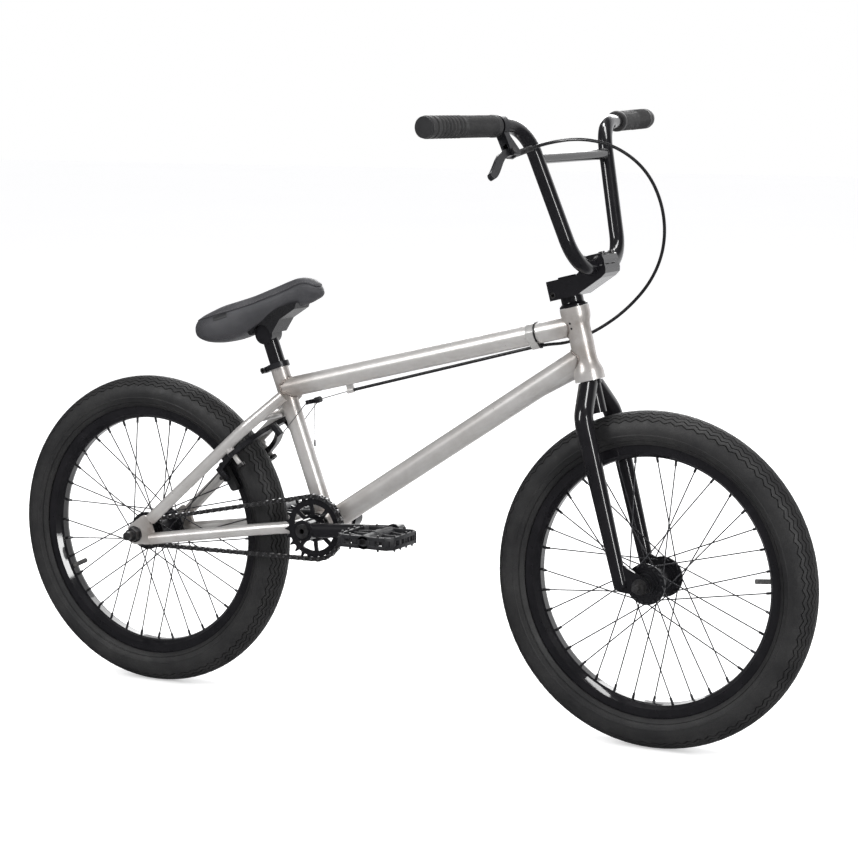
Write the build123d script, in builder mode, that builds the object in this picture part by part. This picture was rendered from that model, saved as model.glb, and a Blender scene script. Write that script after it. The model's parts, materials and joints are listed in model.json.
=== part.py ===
from build123d import *
from math import cos, pi, radians, sin, sqrt, tan
import os

# Freestyle bicycle with 20 inch wheels: frame, fork, bars, wheels, drive, brake and seat.
# Frame of reference: +X forward, +Y to the rider's left, +Z up, origin on the ground midway
# between the axles. All sizes are millimetres.
os.makedirs("parts", exist_ok=True)

# ---------------------------------------------------------------- driving dimensions
WHEELBASE = 898.0
TYRE_RADIUS = 255.0
TYRE_WIDTH = 61.4
TYRE_HEIGHT = 56.0
TYRE_WALL = 4.0
RIM_RADIUS = 206.0
RIM_WIDTH = 37.0
RIM_DEPTH = 20.0
RIM_WALL = 3.0
SPOKE_COUNT = 36
SPOKE_CROSSES = 3
SPOKE_RADIUS = 1.0
NIPPLE_RADIUS = 2.0
NIPPLE_LENGTH = 13.0

BRACKET_RISE = 37.0
CHAIN_PITCH = 12.7
CHAIN_RUN_LINKS = 26
SPROCKET_TEETH = 25
DRIVER_TEETH = 9
CHAIN_LINE = 43.5
CRANK_LENGTH = 170.0
CRANK_ANGLE = 5.0
SPINDLE_RADIUS = 9.5
SHELL_WIDTH = 68.0
SHELL_RADIUS = 23.0
SHELL_WALL = 2.2

SEAT_ANGLE = 69.9
SEAT_TUBE_LENGTH = 269.0
SEAT_TUBE_RADIUS = 14.3
SEAT_POST_RADIUS = 12.7
SEAT_POST_INSERTION = 110.0
TOP_TUBE_HEIGHT = 226.4
TOP_TUBE_RADIUS = 15.9
DOWN_TUBE_RADIUS = 17.45
STAY_RADIUS = 9.5
TUBE_WALL = 1.5

HEAD_ANGLE = 75.5
HEAD_BOTTOM = 303.5
HEAD_LENGTH = 112.0
HEAD_WAIST_RADIUS = 17.8
HEAD_FLARE_RADIUS = 22.8
TOP_TUBE_BELOW_HEAD_TOP = 26.9
DOWN_TUBE_ABOVE_HEAD_BOTTOM = 37.5
FORK_OFFSET = 31.2
STEERER_RADIUS = 14.3
LEG_TOP_RADIUS = 14.3
LEG_FOOT_RADIUS = 10.5
LEG_SPREAD = 53.0

FRONT_HUB_WIDTH = 100.0
REAR_HUB_WIDTH = 110.0
FRONT_AXLE_RADIUS = 5.0
REAR_AXLE_RADIUS = 7.0
FRONT_AXLE_LENGTH = 150.0
REAR_AXLE_LENGTH = 170.0
FRONT_DROPOUT = 5.0
REAR_DROPOUT = 6.0

BAR_RADIUS = 11.1
BAR_WALL = 2.2
BAR_WIDTH = 742.0
BAR_RISE = 216.0
BAR_LEAN = 15.55
BAR_FOOT = 76.0
BAR_HEAD = 134.0
BAR_BACKSWEEP = 33.0
BAR_UPSWEEP = 2.0
BAR_BEND = 60.0
CROSSBAR_RISE = 167.0
CROSSBAR_RADIUS = 8.0
STEM_REACH = 54.7
STEM_WIDTH = 52.0
STEM_FOOT = 431.0
STEM_BAR_HEIGHT = 466.1
GRIP_RADIUS = 16.2
GRIP_LENGTH = 166.0

SEAT_LENGTH = 228.0
SEAT_HALF_WIDTH = 64.0
SEAT_NOSE_HALF_WIDTH = 22.0

RUNNING_CLEARANCE = 0.05
SLIDING_CLEARANCE = 0.05
BODY_GAP = 0.4
HUB_END_GAP = 0.5

# ---------------------------------------------------------------- places
up = Vector(0, 0, 1)
left = Vector(0, 1, 0)
rear_axle_point = Vector(-WHEELBASE / 2, 0, TYRE_RADIUS)
front_axle_point = Vector(WHEELBASE / 2, 0, TYRE_RADIUS)


def pitch_radius(teeth):
    return CHAIN_PITCH / (2 * sin(pi / teeth))


sprocket_pitch_radius = pitch_radius(SPROCKET_TEETH)
driver_pitch_radius = pitch_radius(DRIVER_TEETH)
sprocket_step = 2 * pi / SPROCKET_TEETH
driver_step = 2 * pi / DRIVER_TEETH
sprocket_wrap = int(pi / 2 / sprocket_step + 1) * sprocket_step
driver_wrap = int(pi / 2 / driver_step) * driver_step
run_length = CHAIN_RUN_LINKS * CHAIN_PITCH
run_climb = sprocket_pitch_radius * sin(sprocket_wrap) - driver_pitch_radius * sin(driver_wrap)
centre_distance = (
    sqrt(run_length**2 - run_climb**2)
    - sprocket_pitch_radius * cos(sprocket_wrap)
    - driver_pitch_radius * cos(driver_wrap)
)
drive_forward = sqrt(centre_distance**2 - BRACKET_RISE**2)
bracket_point = rear_axle_point + Vector(drive_forward, 0, BRACKET_RISE)
drive_line = (bracket_point - rear_axle_point).normalized()

seat_up = Vector(-cos(radians(SEAT_ANGLE)), 0, sin(radians(SEAT_ANGLE)))
seat_ahead = Vector(sin(radians(SEAT_ANGLE)), 0, cos(radians(SEAT_ANGLE)))
steer_up = Vector(-cos(radians(HEAD_ANGLE)), 0, sin(radians(HEAD_ANGLE)))
steer_ahead = Vector(sin(radians(HEAD_ANGLE)), 0, cos(radians(HEAD_ANGLE)))
steer_foot = front_axle_point - Vector(FORK_OFFSET / sin(radians(HEAD_ANGLE)), 0, 0)
head_top = HEAD_BOTTOM + HEAD_LENGTH
shell_inner_radius = SHELL_RADIUS - SHELL_WALL


def on_seat_tube(height, ahead=0.0, side=0.0):
    """Point measured up the seat tube from the bottom bracket."""
    return bracket_point + seat_up * height + seat_ahead * ahead + left * side


def on_steerer(height, ahead=0.0, side=0.0):
    """Point measured up the steering axis from axle height."""
    return steer_foot + steer_up * height + steer_ahead * ahead + left * side


def square_to(start, end):
    """Plane at start whose normal runs towards end."""
    return Plane(origin=start, x_dir=left, z_dir=(end - start).normalized())


def steering_side(side=0.0):
    """Plane along the bicycle: local x runs ahead, local y up the steering axis."""
    return Plane(origin=steer_foot + left * side, x_dir=steer_ahead, z_dir=-left)


def steering_level(height):
    """Plane square to the steering axis: local x runs ahead, local y to the left."""
    return Plane(origin=on_steerer(height), x_dir=steer_ahead, z_dir=steer_up)


def seat_level(height):
    """Plane square to the seat tube: local x runs ahead, local y to the left."""
    return Plane(origin=on_seat_tube(height), x_dir=seat_ahead, z_dir=seat_up)


def side_plane(centre, side):
    """Upright plane along the bicycle at a given side: local x forward, local y up."""
    return Plane(origin=Vector(centre.X, side, centre.Z), x_dir=(1, 0, 0), z_dir=-left)


def axle_section(centre):
    """Plane for turned parts on a wheel: local x is the radius, local y runs to the left."""
    return Plane(origin=centre, x_dir=(1, 0, 0), z_dir=up)


top_tube_rear = on_seat_tube(TOP_TUBE_HEIGHT)
top_tube_front = on_steerer(head_top - TOP_TUBE_BELOW_HEAD_TOP)
down_tube_front = on_steerer(HEAD_BOTTOM + DOWN_TUBE_ABOVE_HEAD_BOTTOM)
steering_axis = Axis(steer_foot, steer_up)
front_axis = Axis(front_axle_point, left)
rear_axis = Axis(rear_axle_point, left)

# ---------------------------------------------------------------- solid tube outlines
# Each tube butts on its neighbours, so the ends are mitred with these solid outlines.
with BuildPart() as head_outline:
    with BuildSketch(steering_level(HEAD_BOTTOM)):
        Circle(HEAD_WAIST_RADIUS)
    extrude(amount=HEAD_LENGTH)

with BuildPart() as seat_tube_outline:
    with BuildSketch(seat_level(0)):
        Circle(SEAT_TUBE_RADIUS)
    extrude(amount=SEAT_TUBE_LENGTH)

with BuildPart() as shell_outline:
    with BuildSketch(side_plane(bracket_point, SHELL_WIDTH / 2)):
        Circle(SHELL_RADIUS)
    extrude(amount=SHELL_WIDTH)

with BuildPart() as top_tube_outline:
    with BuildSketch(square_to(top_tube_rear, top_tube_front)):
        Circle(TOP_TUBE_RADIUS)
    extrude(amount=(top_tube_front - top_tube_rear).length)

with BuildPart() as down_tube_outline:
    with BuildSketch(square_to(bracket_point, down_tube_front)):
        Circle(DOWN_TUBE_RADIUS)
    extrude(amount=(down_tube_front - bracket_point).length)

# ---------------------------------------------------------------- main frame
BEARING_HEIGHT = 8.0
HEAD_BEARING_RADIUS = 20.5
HEAD_INNER_RADIUS = 16.2
FLARE_HEIGHT = 13.0
FLARE_BLEND = 22.0

with BuildPart() as head_tube:
    with BuildSketch(steering_side()):
        with BuildLine():
            Polyline(
                (HEAD_INNER_RADIUS, HEAD_BOTTOM + BEARING_HEIGHT),
                (HEAD_BEARING_RADIUS, HEAD_BOTTOM + BEARING_HEIGHT),
                (HEAD_BEARING_RADIUS, HEAD_BOTTOM),
                (HEAD_FLARE_RADIUS, HEAD_BOTTOM),
                (HEAD_FLARE_RADIUS, HEAD_BOTTOM + FLARE_HEIGHT * 0.7),
            )
            Spline(
                (HEAD_FLARE_RADIUS, HEAD_BOTTOM + FLARE_HEIGHT * 0.7),
                (HEAD_WAIST_RADIUS + 1.2, HEAD_BOTTOM + FLARE_HEIGHT + FLARE_BLEND * 0.5),
                (HEAD_WAIST_RADIUS, HEAD_BOTTOM + HEAD_LENGTH / 2),
                (HEAD_WAIST_RADIUS + 1.2, head_top - FLARE_HEIGHT - FLARE_BLEND * 0.5),
                (HEAD_FLARE_RADIUS - 0.6, head_top - FLARE_HEIGHT * 0.6),
                tangents=[(0, 1), (0, 1)],
            )
            Polyline(
                (HEAD_FLARE_RADIUS - 0.6, head_top - FLARE_HEIGHT * 0.6),
                (HEAD_FLARE_RADIUS - 0.6, head_top),
                (HEAD_BEARING_RADIUS, head_top),
                (HEAD_BEARING_RADIUS, head_top - BEARING_HEIGHT),
                (HEAD_INNER_RADIUS, head_top - BEARING_HEIGHT),
                (HEAD_INNER_RADIUS, HEAD_BOTTOM + BEARING_HEIGHT),
            )
        make_face()
    revolve(axis=steering_axis)
head_tube.part.label = "head_tube"
export_step(head_tube.part, "parts/head_tube.step")

with BuildPart() as headset_bearings:
    for foot in (HEAD_BOTTOM + BODY_GAP, head_top - BEARING_HEIGHT):
        with BuildSketch(steering_level(foot)):
            Circle(HEAD_BEARING_RADIUS)
            Circle(STEERER_RADIUS + RUNNING_CLEARANCE, mode=Mode.SUBTRACT)
        extrude(amount=BEARING_HEIGHT - BODY_GAP)
headset_bearings.part.label = "headset_bearings"
export_step(headset_bearings.part, "parts/headset_bearings.step")

with BuildPart() as bottom_bracket_shell:
    with BuildSketch(side_plane(bracket_point, SHELL_WIDTH / 2)):
        Circle(SHELL_RADIUS)
        Circle(shell_inner_radius, mode=Mode.SUBTRACT)
    extrude(amount=SHELL_WIDTH)
bottom_bracket_shell.part.label = "bottom_bracket_shell"
export_step(bottom_bracket_shell.part, "parts/bottom_bracket_shell.step")

with BuildPart() as seat_tube:
    with BuildSketch(seat_level(0)):
        Circle(SEAT_TUBE_RADIUS)
    extrude(amount=SEAT_TUBE_LENGTH)
    with BuildSketch(seat_level(0)):
        Circle(SEAT_POST_RADIUS + SLIDING_CLEARANCE)
    extrude(amount=SEAT_TUBE_LENGTH, mode=Mode.SUBTRACT)
    add(shell_outline.part, mode=Mode.SUBTRACT)
seat_tube.part.label = "seat_tube"
export_step(seat_tube.part, "parts/seat_tube.step")

with BuildPart() as down_tube:
    with BuildSketch(square_to(bracket_point, down_tube_front)):
        Circle(DOWN_TUBE_RADIUS)
        Circle(DOWN_TUBE_RADIUS - TUBE_WALL, mode=Mode.SUBTRACT)
    extrude(amount=(down_tube_front - bracket_point).length)
    add(shell_outline.part, mode=Mode.SUBTRACT)
    add(seat_tube_outline.part, mode=Mode.SUBTRACT)
    add(head_outline.part, mode=Mode.SUBTRACT)
    add(head_tube.part, mode=Mode.SUBTRACT)
down_tube.part.label = "down_tube"
export_step(down_tube.part, "parts/down_tube.step")

with BuildPart() as top_tube:
    with BuildSketch(square_to(top_tube_rear, top_tube_front)):
        Circle(TOP_TUBE_RADIUS)
        Circle(TOP_TUBE_RADIUS - TUBE_WALL, mode=Mode.SUBTRACT)
    extrude(amount=(top_tube_front - top_tube_rear).length)
    add(seat_tube_outline.part, mode=Mode.SUBTRACT)
    add(head_outline.part, mode=Mode.SUBTRACT)
    add(head_tube.part, mode=Mode.SUBTRACT)
top_tube.part.label = "top_tube"
export_step(top_tube.part, "parts/top_tube.step")

# Rear triangle. The stays end on the dropout plates, the shell and the seat tube.
DROPOUT_SIDE = REAR_HUB_WIDTH / 2
DROPOUT_BOSS = 17.0
DROPOUT_REACH = 40.0
dropout_middle = DROPOUT_SIDE + REAR_DROPOUT / 2
chain_stay_foot = Vector(30, 0, -5.5)
seat_stay_foot = Vector(30, 0, 27)
STAY_BEND = 225.0
CHAIN_STAY_BEND_SIDE = 44.0
CHAIN_STAY_FRONT_SIDE = 18.5
SEAT_STAY_KNEE = 240.0
SEAT_STAY_KNEE_SIDE = 45.0
SEAT_STAY_TOP_SIDE = 21.0

with BuildPart() as dropouts:
    for side in (-DROPOUT_SIDE, DROPOUT_SIDE + REAR_DROPOUT):
        with BuildSketch(side_plane(rear_axle_point, side)):
            Circle(DROPOUT_BOSS)
            with Locations((DROPOUT_REACH * 0.45, DROPOUT_REACH * 0.55)):
                Circle(10.0)
            with Locations((DROPOUT_REACH * 0.75, -5.5)):
                Circle(9.0)
            make_hull()
            with Locations((-DROPOUT_BOSS / 2, 0)):
                Rectangle(DROPOUT_BOSS, 2 * REAR_AXLE_RADIUS, mode=Mode.SUBTRACT)
            Circle(REAR_AXLE_RADIUS, mode=Mode.SUBTRACT)
        extrude(amount=REAR_DROPOUT)
dropouts.part.label = "dropouts"
export_step(dropouts.part, "parts/dropouts.step")

with BuildPart() as chain_stays:
    for side in (-1, 1):
        foot = rear_axle_point + chain_stay_foot + left * side * dropout_middle
        bend = rear_axle_point + Vector(STAY_BEND, side * CHAIN_STAY_BEND_SIDE, STAY_BEND * 0.128 - 4)
        front = bracket_point + Vector(0, side * CHAIN_STAY_FRONT_SIDE, 0)
        with BuildLine() as stay_path:
            FilletPolyline(foot, bend, front, radius=150)
        with BuildSketch(square_to(foot, bend)):
            Circle(STAY_RADIUS)
        sweep(path=stay_path.line)
    add(shell_outline.part, mode=Mode.SUBTRACT)
    add(dropouts.part, mode=Mode.SUBTRACT)
chain_stays.part.label = "chain_stays"
export_step(chain_stays.part, "parts/chain_stays.step")

seat_stay_top = on_seat_tube(TOP_TUBE_HEIGHT - 12, 4)
seat_stay_heading = (seat_stay_top - rear_axle_point - seat_stay_foot).normalized()
with BuildPart() as seat_stays:
    for side in (-1, 1):
        foot = rear_axle_point + seat_stay_foot + left * side * dropout_middle
        knee = rear_axle_point + seat_stay_foot + seat_stay_heading * SEAT_STAY_KNEE
        knee = knee + left * side * SEAT_STAY_KNEE_SIDE
        top = seat_stay_top + left * side * SEAT_STAY_TOP_SIDE
        with BuildLine() as stay_path:
            FilletPolyline(foot, knee, top, radius=70)
        with BuildSketch(square_to(foot, knee)):
            Circle(STAY_RADIUS)
        sweep(path=stay_path.line)
    add(seat_tube_outline.part, mode=Mode.SUBTRACT)
    add(top_tube_outline.part, mode=Mode.SUBTRACT)
    add(dropouts.part, mode=Mode.SUBTRACT)
    add(chain_stays.part, mode=Mode.SUBTRACT)
seat_stays.part.label = "seat_stays"
export_step(seat_stays.part, "parts/seat_stays.step")

# ---------------------------------------------------------------- rear brake geometry
BRAKE_HEIGHT = 193.0
STUD_RADIUS = 4.0
STUD_LENGTH = 38.0
ARM_THICKNESS = 8.0
ARM_LAYER = 14.0
ARM_LAYER_STEP = 9.0
ARM_HALF_WIDTH = 7.0
PAD_BELOW = 42.5
PAD_LAYER = 33.0
PAD_GAP = 4.5
brake_along = seat_stay_heading
brake_ahead = Vector(seat_stay_heading.Z, 0, -seat_stay_heading.X)
brake_centre = rear_axle_point + seat_stay_foot + brake_along * BRAKE_HEIGHT
stud_side = dropout_middle + (SEAT_STAY_KNEE_SIDE - dropout_middle) * BRAKE_HEIGHT / SEAT_STAY_KNEE


def brake_plane(layer):
    """Plane square to the brake studs: local x runs left, local y up the stays."""
    return Plane(origin=brake_centre + brake_ahead * layer, x_dir=left, z_dir=brake_ahead)


# Cable run under the top tube: the stop, the ties and the yoke lie on one line.
top_tube_heading = (top_tube_front - top_tube_rear).normalized()
top_tube_below = Vector(top_tube_heading.Z, 0, -top_tube_heading.X)
CABLE_RADIUS = 2.5
WIRE_RADIUS = 0.8
STOP_ALONG = 112.0
STOP_BELOW = TOP_TUBE_RADIUS + 9.5
TIE_BELOW = TOP_TUBE_RADIUS + CABLE_RADIUS + 0.6
TIE_ALONG = (top_tube_front - top_tube_rear).length - 80.0
cable_stop = top_tube_rear + top_tube_heading * STOP_ALONG + top_tube_below * STOP_BELOW
cable_tie = top_tube_rear + top_tube_heading * TIE_ALONG + top_tube_below * TIE_BELOW
yoke_point = on_seat_tube(192.0, 46.0)
wire_heading = (yoke_point - cable_stop).normalized()
housing_heading = (cable_tie - cable_stop).normalized()
STOP_LENGTH = 12.0
STOP_LIP = 1.5
GUSSET_LENGTH = 103.0
GUSSET_DEPTH = 7.5
GUSSET_SINK = 1.0
GUSSET_RADIUS = 13.5
down_tube_heading = (down_tube_front - bracket_point).normalized()
down_tube_below = Vector(down_tube_heading.Z, 0, -down_tube_heading.X)
GUIDE_WALL = 1.5
BRIDGE_RADIUS = 7.0

with BuildPart() as frame_fittings:
    # bridges between the stays, mitred to them
    seat_bridge = rear_axle_point + seat_stay_foot + seat_stay_heading * 262
    bridge_half = SEAT_STAY_KNEE_SIDE - STAY_RADIUS + 2
    with BuildSketch(Plane(origin=seat_bridge - left * bridge_half, x_dir=up, z_dir=left)):
        Circle(BRIDGE_RADIUS)
    extrude(amount=2 * bridge_half)
    chain_bridge = rear_axle_point + Vector(STAY_BEND + 52, 0, (STAY_BEND + 52) * 0.12 - 2)
    with BuildSketch(Plane(origin=chain_bridge - left * 34, x_dir=up, z_dir=left)):
        Circle(BRIDGE_RADIUS)
    extrude(amount=68)
    # studs that the brake arms turn on
    for side in (-1, 1):
        with BuildSketch(brake_plane(0)):
            with Locations((side * stud_side, 0)):
                Circle(STUD_RADIUS)
        extrude(amount=STUD_LENGTH)
        with BuildSketch(brake_plane(0)):
            with Locations((side * stud_side, 0)):
                Circle(STUD_RADIUS + 3)
        extrude(amount=ARM_LAYER - BODY_GAP)
    add(seat_stays.part, mode=Mode.SUBTRACT)
    # cable stop: a web under the top tube, a cup for the housing and a lip for the wire
    with BuildSketch(Plane(origin=cable_stop, x_dir=left, z_dir=housing_heading)):
        Circle(CABLE_RADIUS + GUIDE_WALL)
    extrude(amount=STOP_LENGTH)
    stop_web = cable_stop + housing_heading * (STOP_LENGTH / 2)
    with BuildSketch(Plane(origin=stop_web, x_dir=left, z_dir=-top_tube_below)):
        Rectangle(3, STOP_LENGTH)
    extrude(amount=STOP_BELOW)
    with BuildSketch(Plane(origin=cable_stop + housing_heading * STOP_LIP, x_dir=left,
                           z_dir=housing_heading)):
        Circle(CABLE_RADIUS)
    extrude(amount=STOP_LENGTH, mode=Mode.SUBTRACT)
    with BuildSketch(Plane(origin=cable_stop, x_dir=left, z_dir=housing_heading)):
        Circle(WIRE_RADIUS + 0.3)
    extrude(amount=STOP_LIP, mode=Mode.SUBTRACT)
    add(top_tube_outline.part, mode=Mode.SUBTRACT)
    # gusset that wraps the underside of the down tube behind the head tube
    gusset_flush = DOWN_TUBE_RADIUS - GUSSET_RADIUS
    gusset_end = down_tube_front - down_tube_heading * GUSSET_LENGTH
    gusset_end = gusset_end + down_tube_below * (gusset_flush - GUSSET_SINK)
    gusset_front = down_tube_front + down_tube_below * (gusset_flush + GUSSET_DEPTH)
    with BuildSketch(square_to(gusset_end, gusset_front)):
        Circle(GUSSET_RADIUS)
    extrude(amount=(gusset_front - gusset_end).length)
    add(top_tube_outline.part, mode=Mode.SUBTRACT)
    add(down_tube_outline.part, mode=Mode.SUBTRACT)
    add(head_outline.part, mode=Mode.SUBTRACT)
    add(head_tube.part, mode=Mode.SUBTRACT)
    add(headset_bearings.part, mode=Mode.SUBTRACT)
    add(chain_stays.part, mode=Mode.SUBTRACT)
frame_fittings.part.label = "frame_fittings"
export_step(frame_fittings.part, "parts/frame_fittings.step")

# ---------------------------------------------------------------- fork and steering
CROWN_TOP = HEAD_BOTTOM - BODY_GAP
CROWN_HEIGHT = 6.0
CROWN_LIP = 1.7
STEERER_FOOT = HEAD_BOTTOM - 50.0
STEERER_TOP = 463.0
STEERER_WALL = 1.6
LEG_SHOULDER = 232.0
LEG_FOOT = -6.0

with BuildPart() as fork_steerer:
    with BuildSketch(steering_level(STEERER_FOOT)):
        Circle(STEERER_RADIUS)
    extrude(amount=STEERER_TOP - STEERER_FOOT)
    with BuildSketch(steering_level(CROWN_TOP - CROWN_HEIGHT)):
        Circle(STEERER_RADIUS + CROWN_LIP)
    extrude(amount=CROWN_HEIGHT)
    with BuildSketch(steering_level(STEERER_FOOT)):
        Circle(STEERER_RADIUS - STEERER_WALL)
    extrude(amount=STEERER_TOP - STEERER_FOOT, mode=Mode.SUBTRACT)
fork_steerer.part.label = "fork_steerer"
export_step(fork_steerer.part, "parts/fork_steerer.step")

with BuildPart() as crown_outline:
    with BuildSketch(steering_level(STEERER_FOOT - 30)):
        Circle(STEERER_RADIUS)
    extrude(amount=STEERER_TOP - STEERER_FOOT)
    with BuildSketch(steering_level(CROWN_TOP - CROWN_HEIGHT)):
        Circle(STEERER_RADIUS + CROWN_LIP)
    extrude(amount=CROWN_HEIGHT)
    with BuildSketch(steering_level(CROWN_TOP - 1)):
        Circle(2 * HEAD_FLARE_RADIUS)
    extrude(amount=CROWN_HEIGHT * 5)

FORK_DROPOUT_BOSS = 14.0
fork_side = FRONT_HUB_WIDTH / 2
with BuildPart() as fork_legs:
    for side in (-1, 1):
        leg_crown = on_steerer(CROWN_TOP - 2, 0, side * 8)
        leg_shoulder = on_steerer(LEG_SHOULDER, 0, side * LEG_SPREAD)
        leg_foot = on_steerer(LEG_FOOT, 0, side * LEG_SPREAD)
        leg_turn = on_steerer(HEAD_BOTTOM - 52, 0, side * LEG_SPREAD)
        with BuildLine() as leg_path:
            FilletPolyline(leg_crown, leg_turn, leg_shoulder, radius=36)
        with BuildSketch(Plane(origin=leg_crown, x_dir=steer_ahead, z_dir=leg_turn - leg_crown)):
            Circle(LEG_TOP_RADIUS)
        sweep(path=leg_path.line)
        with BuildSketch(Plane(origin=leg_shoulder, x_dir=steer_ahead, z_dir=-steer_up)):
            Circle(LEG_TOP_RADIUS)
        with BuildSketch(Plane(origin=leg_foot, x_dir=steer_ahead, z_dir=-steer_up)):
            Circle(LEG_FOOT_RADIUS)
        loft()
    add(crown_outline.part, mode=Mode.SUBTRACT)
    # dropout plates run ahead from the feet of the legs to the axle
    for side in (-fork_side, fork_side + FRONT_DROPOUT):
        with BuildSketch(side_plane(front_axle_point, side)):
            Circle(FORK_DROPOUT_BOSS)
            with Locations((-FORK_OFFSET * 1.03, -5), (-FORK_OFFSET * 1.12, 26)):
                Circle(6.0)
            make_hull()
            with Locations((FORK_DROPOUT_BOSS / 2, -FORK_DROPOUT_BOSS / 2)):
                Rectangle(FORK_DROPOUT_BOSS * 2, 2 * FRONT_AXLE_RADIUS, rotation=-45, mode=Mode.SUBTRACT)
            Circle(FRONT_AXLE_RADIUS, mode=Mode.SUBTRACT)
        extrude(amount=FRONT_DROPOUT)
    for side in (-fork_side, fork_side + FRONT_DROPOUT):
        with BuildSketch(side_plane(front_axle_point, side)):
            Circle(FRONT_AXLE_RADIUS)
        extrude(amount=FRONT_DROPOUT, mode=Mode.SUBTRACT)
fork_legs.part.label = "fork_legs"
export_step(fork_legs.part, "parts/fork_legs.step")

SPACER_FOOT_RADIUS = 21.5
SPACER_TOP_RADIUS = 17.0
with BuildPart() as headset_cap:
    with BuildSketch(steering_side()):
        with BuildLine():
            Polyline(
                (STEERER_RADIUS, head_top + BODY_GAP),
                (SPACER_FOOT_RADIUS, head_top + BODY_GAP),
                (SPACER_FOOT_RADIUS, head_top + 3.5),
                (SPACER_TOP_RADIUS + 0.6, head_top + 6.5),
                (SPACER_TOP_RADIUS, head_top + 8),
                (SPACER_TOP_RADIUS, STEM_FOOT),
                (STEERER_RADIUS, STEM_FOOT),
                close=True,
            )
        make_face()
    revolve(axis=steering_axis)
headset_cap.part.label = "headset_cap"
export_step(headset_cap.part, "parts/headset_cap.step")

STEM_REAR = -24.0
STEM_TOP = 460.5
STEM_SPLIT = 0.7
BOLT_RADIUS = 3.0
BOLT_HEAD_RADIUS = 4.8
stem_side = STEM_WIDTH / 2
with BuildPart() as stem_bolts:
    for ahead in (STEM_REACH - 16.5, STEM_REACH + 16.5):
        for side in (-16.5, 16.5):
            spot = on_steerer(STEM_BAR_HEIGHT - 13, ahead, side)
            with BuildSketch(Plane(origin=spot, x_dir=steer_ahead, z_dir=steer_up)):
                Circle(BOLT_RADIUS)
            extrude(amount=28)
            spot = on_steerer(STEM_BAR_HEIGHT + 15, ahead, side)
            with BuildSketch(Plane(origin=spot, x_dir=steer_ahead, z_dir=steer_up)):
                Circle(BOLT_HEAD_RADIUS)
                RegularPolygon(2.9, 6, mode=Mode.SUBTRACT)
            extrude(amount=4.5)
    for height, head in ((STEM_FOOT + 8, -1), (STEM_TOP - 8, 1)):
        spot = on_steerer(height, STEM_REAR + 6, -stem_side + 6)
        with BuildSketch(Plane(origin=spot, x_dir=steer_up, z_dir=left)):
            Circle(BOLT_RADIUS)
        extrude(amount=STEM_WIDTH - 12)
        spot = on_steerer(height, STEM_REAR + 6, head * (stem_side - 6))
        with BuildSketch(Plane(origin=spot, x_dir=steer_up, z_dir=left * head)):
            Circle(BOLT_HEAD_RADIUS)
            RegularPolygon(2.9, 6, mode=Mode.SUBTRACT)
        extrude(amount=5)
stem_bolts.part.label = "stem_bolts"
export_step(stem_bolts.part, "parts/stem_bolts.step")

with BuildPart() as stem_body:
    with BuildSketch(steering_side(stem_side)):
        with BuildLine():
            Polyline(
                (STEM_REAR, STEM_FOOT),
                (SPACER_TOP_RADIUS + 3, STEM_FOOT),
                (66, 448),
                (74, 453),
                (76, 459),
                (76, STEM_BAR_HEIGHT - STEM_SPLIT),
                (34, STEM_BAR_HEIGHT - STEM_SPLIT),
                (27, STEM_TOP),
                (STEM_REAR, STEM_TOP),
                close=True,
            )
        make_face()
        with Locations((STEM_REACH, STEM_BAR_HEIGHT)):
            Circle(BAR_RADIUS, mode=Mode.SUBTRACT)
    extrude(amount=STEM_WIDTH)
    with BuildSketch(steering_level(STEM_FOOT - 5)):
        Circle(STEERER_RADIUS)
        with Locations((STEM_REAR / 2 - 4, 0)):
            Rectangle(-STEM_REAR, 2, mode=Mode.ADD)
    extrude(amount=STEM_TOP - STEM_FOOT + 10, mode=Mode.SUBTRACT)
    # recesses for the bolt heads and holes for the bolts
    for height, head in ((STEM_FOOT + 8, -1), (STEM_TOP - 8, 1)):
        spot = on_steerer(height, STEM_REAR + 6, head * (stem_side - 6))
        with BuildSketch(Plane(origin=spot, x_dir=steer_up, z_dir=left * head)):
            Circle(BOLT_HEAD_RADIUS)
        extrude(amount=8, mode=Mode.SUBTRACT)
        spot = on_steerer(height, STEM_REAR + 6, -stem_side + 6)
        with BuildSketch(Plane(origin=spot, x_dir=steer_up, z_dir=left)):
            Circle(BOLT_RADIUS)
        extrude(amount=STEM_WIDTH - 12, mode=Mode.SUBTRACT)
    for ahead in (STEM_REACH - 16.5, STEM_REACH + 16.5):
        for side in (-16.5, 16.5):
            spot = on_steerer(STEM_BAR_HEIGHT - 13, ahead, side)
            with BuildSketch(Plane(origin=spot, x_dir=steer_ahead, z_dir=steer_up)):
                Circle(BOLT_RADIUS)
            extrude(amount=20, mode=Mode.SUBTRACT)
stem_body.part.label = "stem_body"
export_step(stem_body.part, "parts/stem_body.step")

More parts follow.
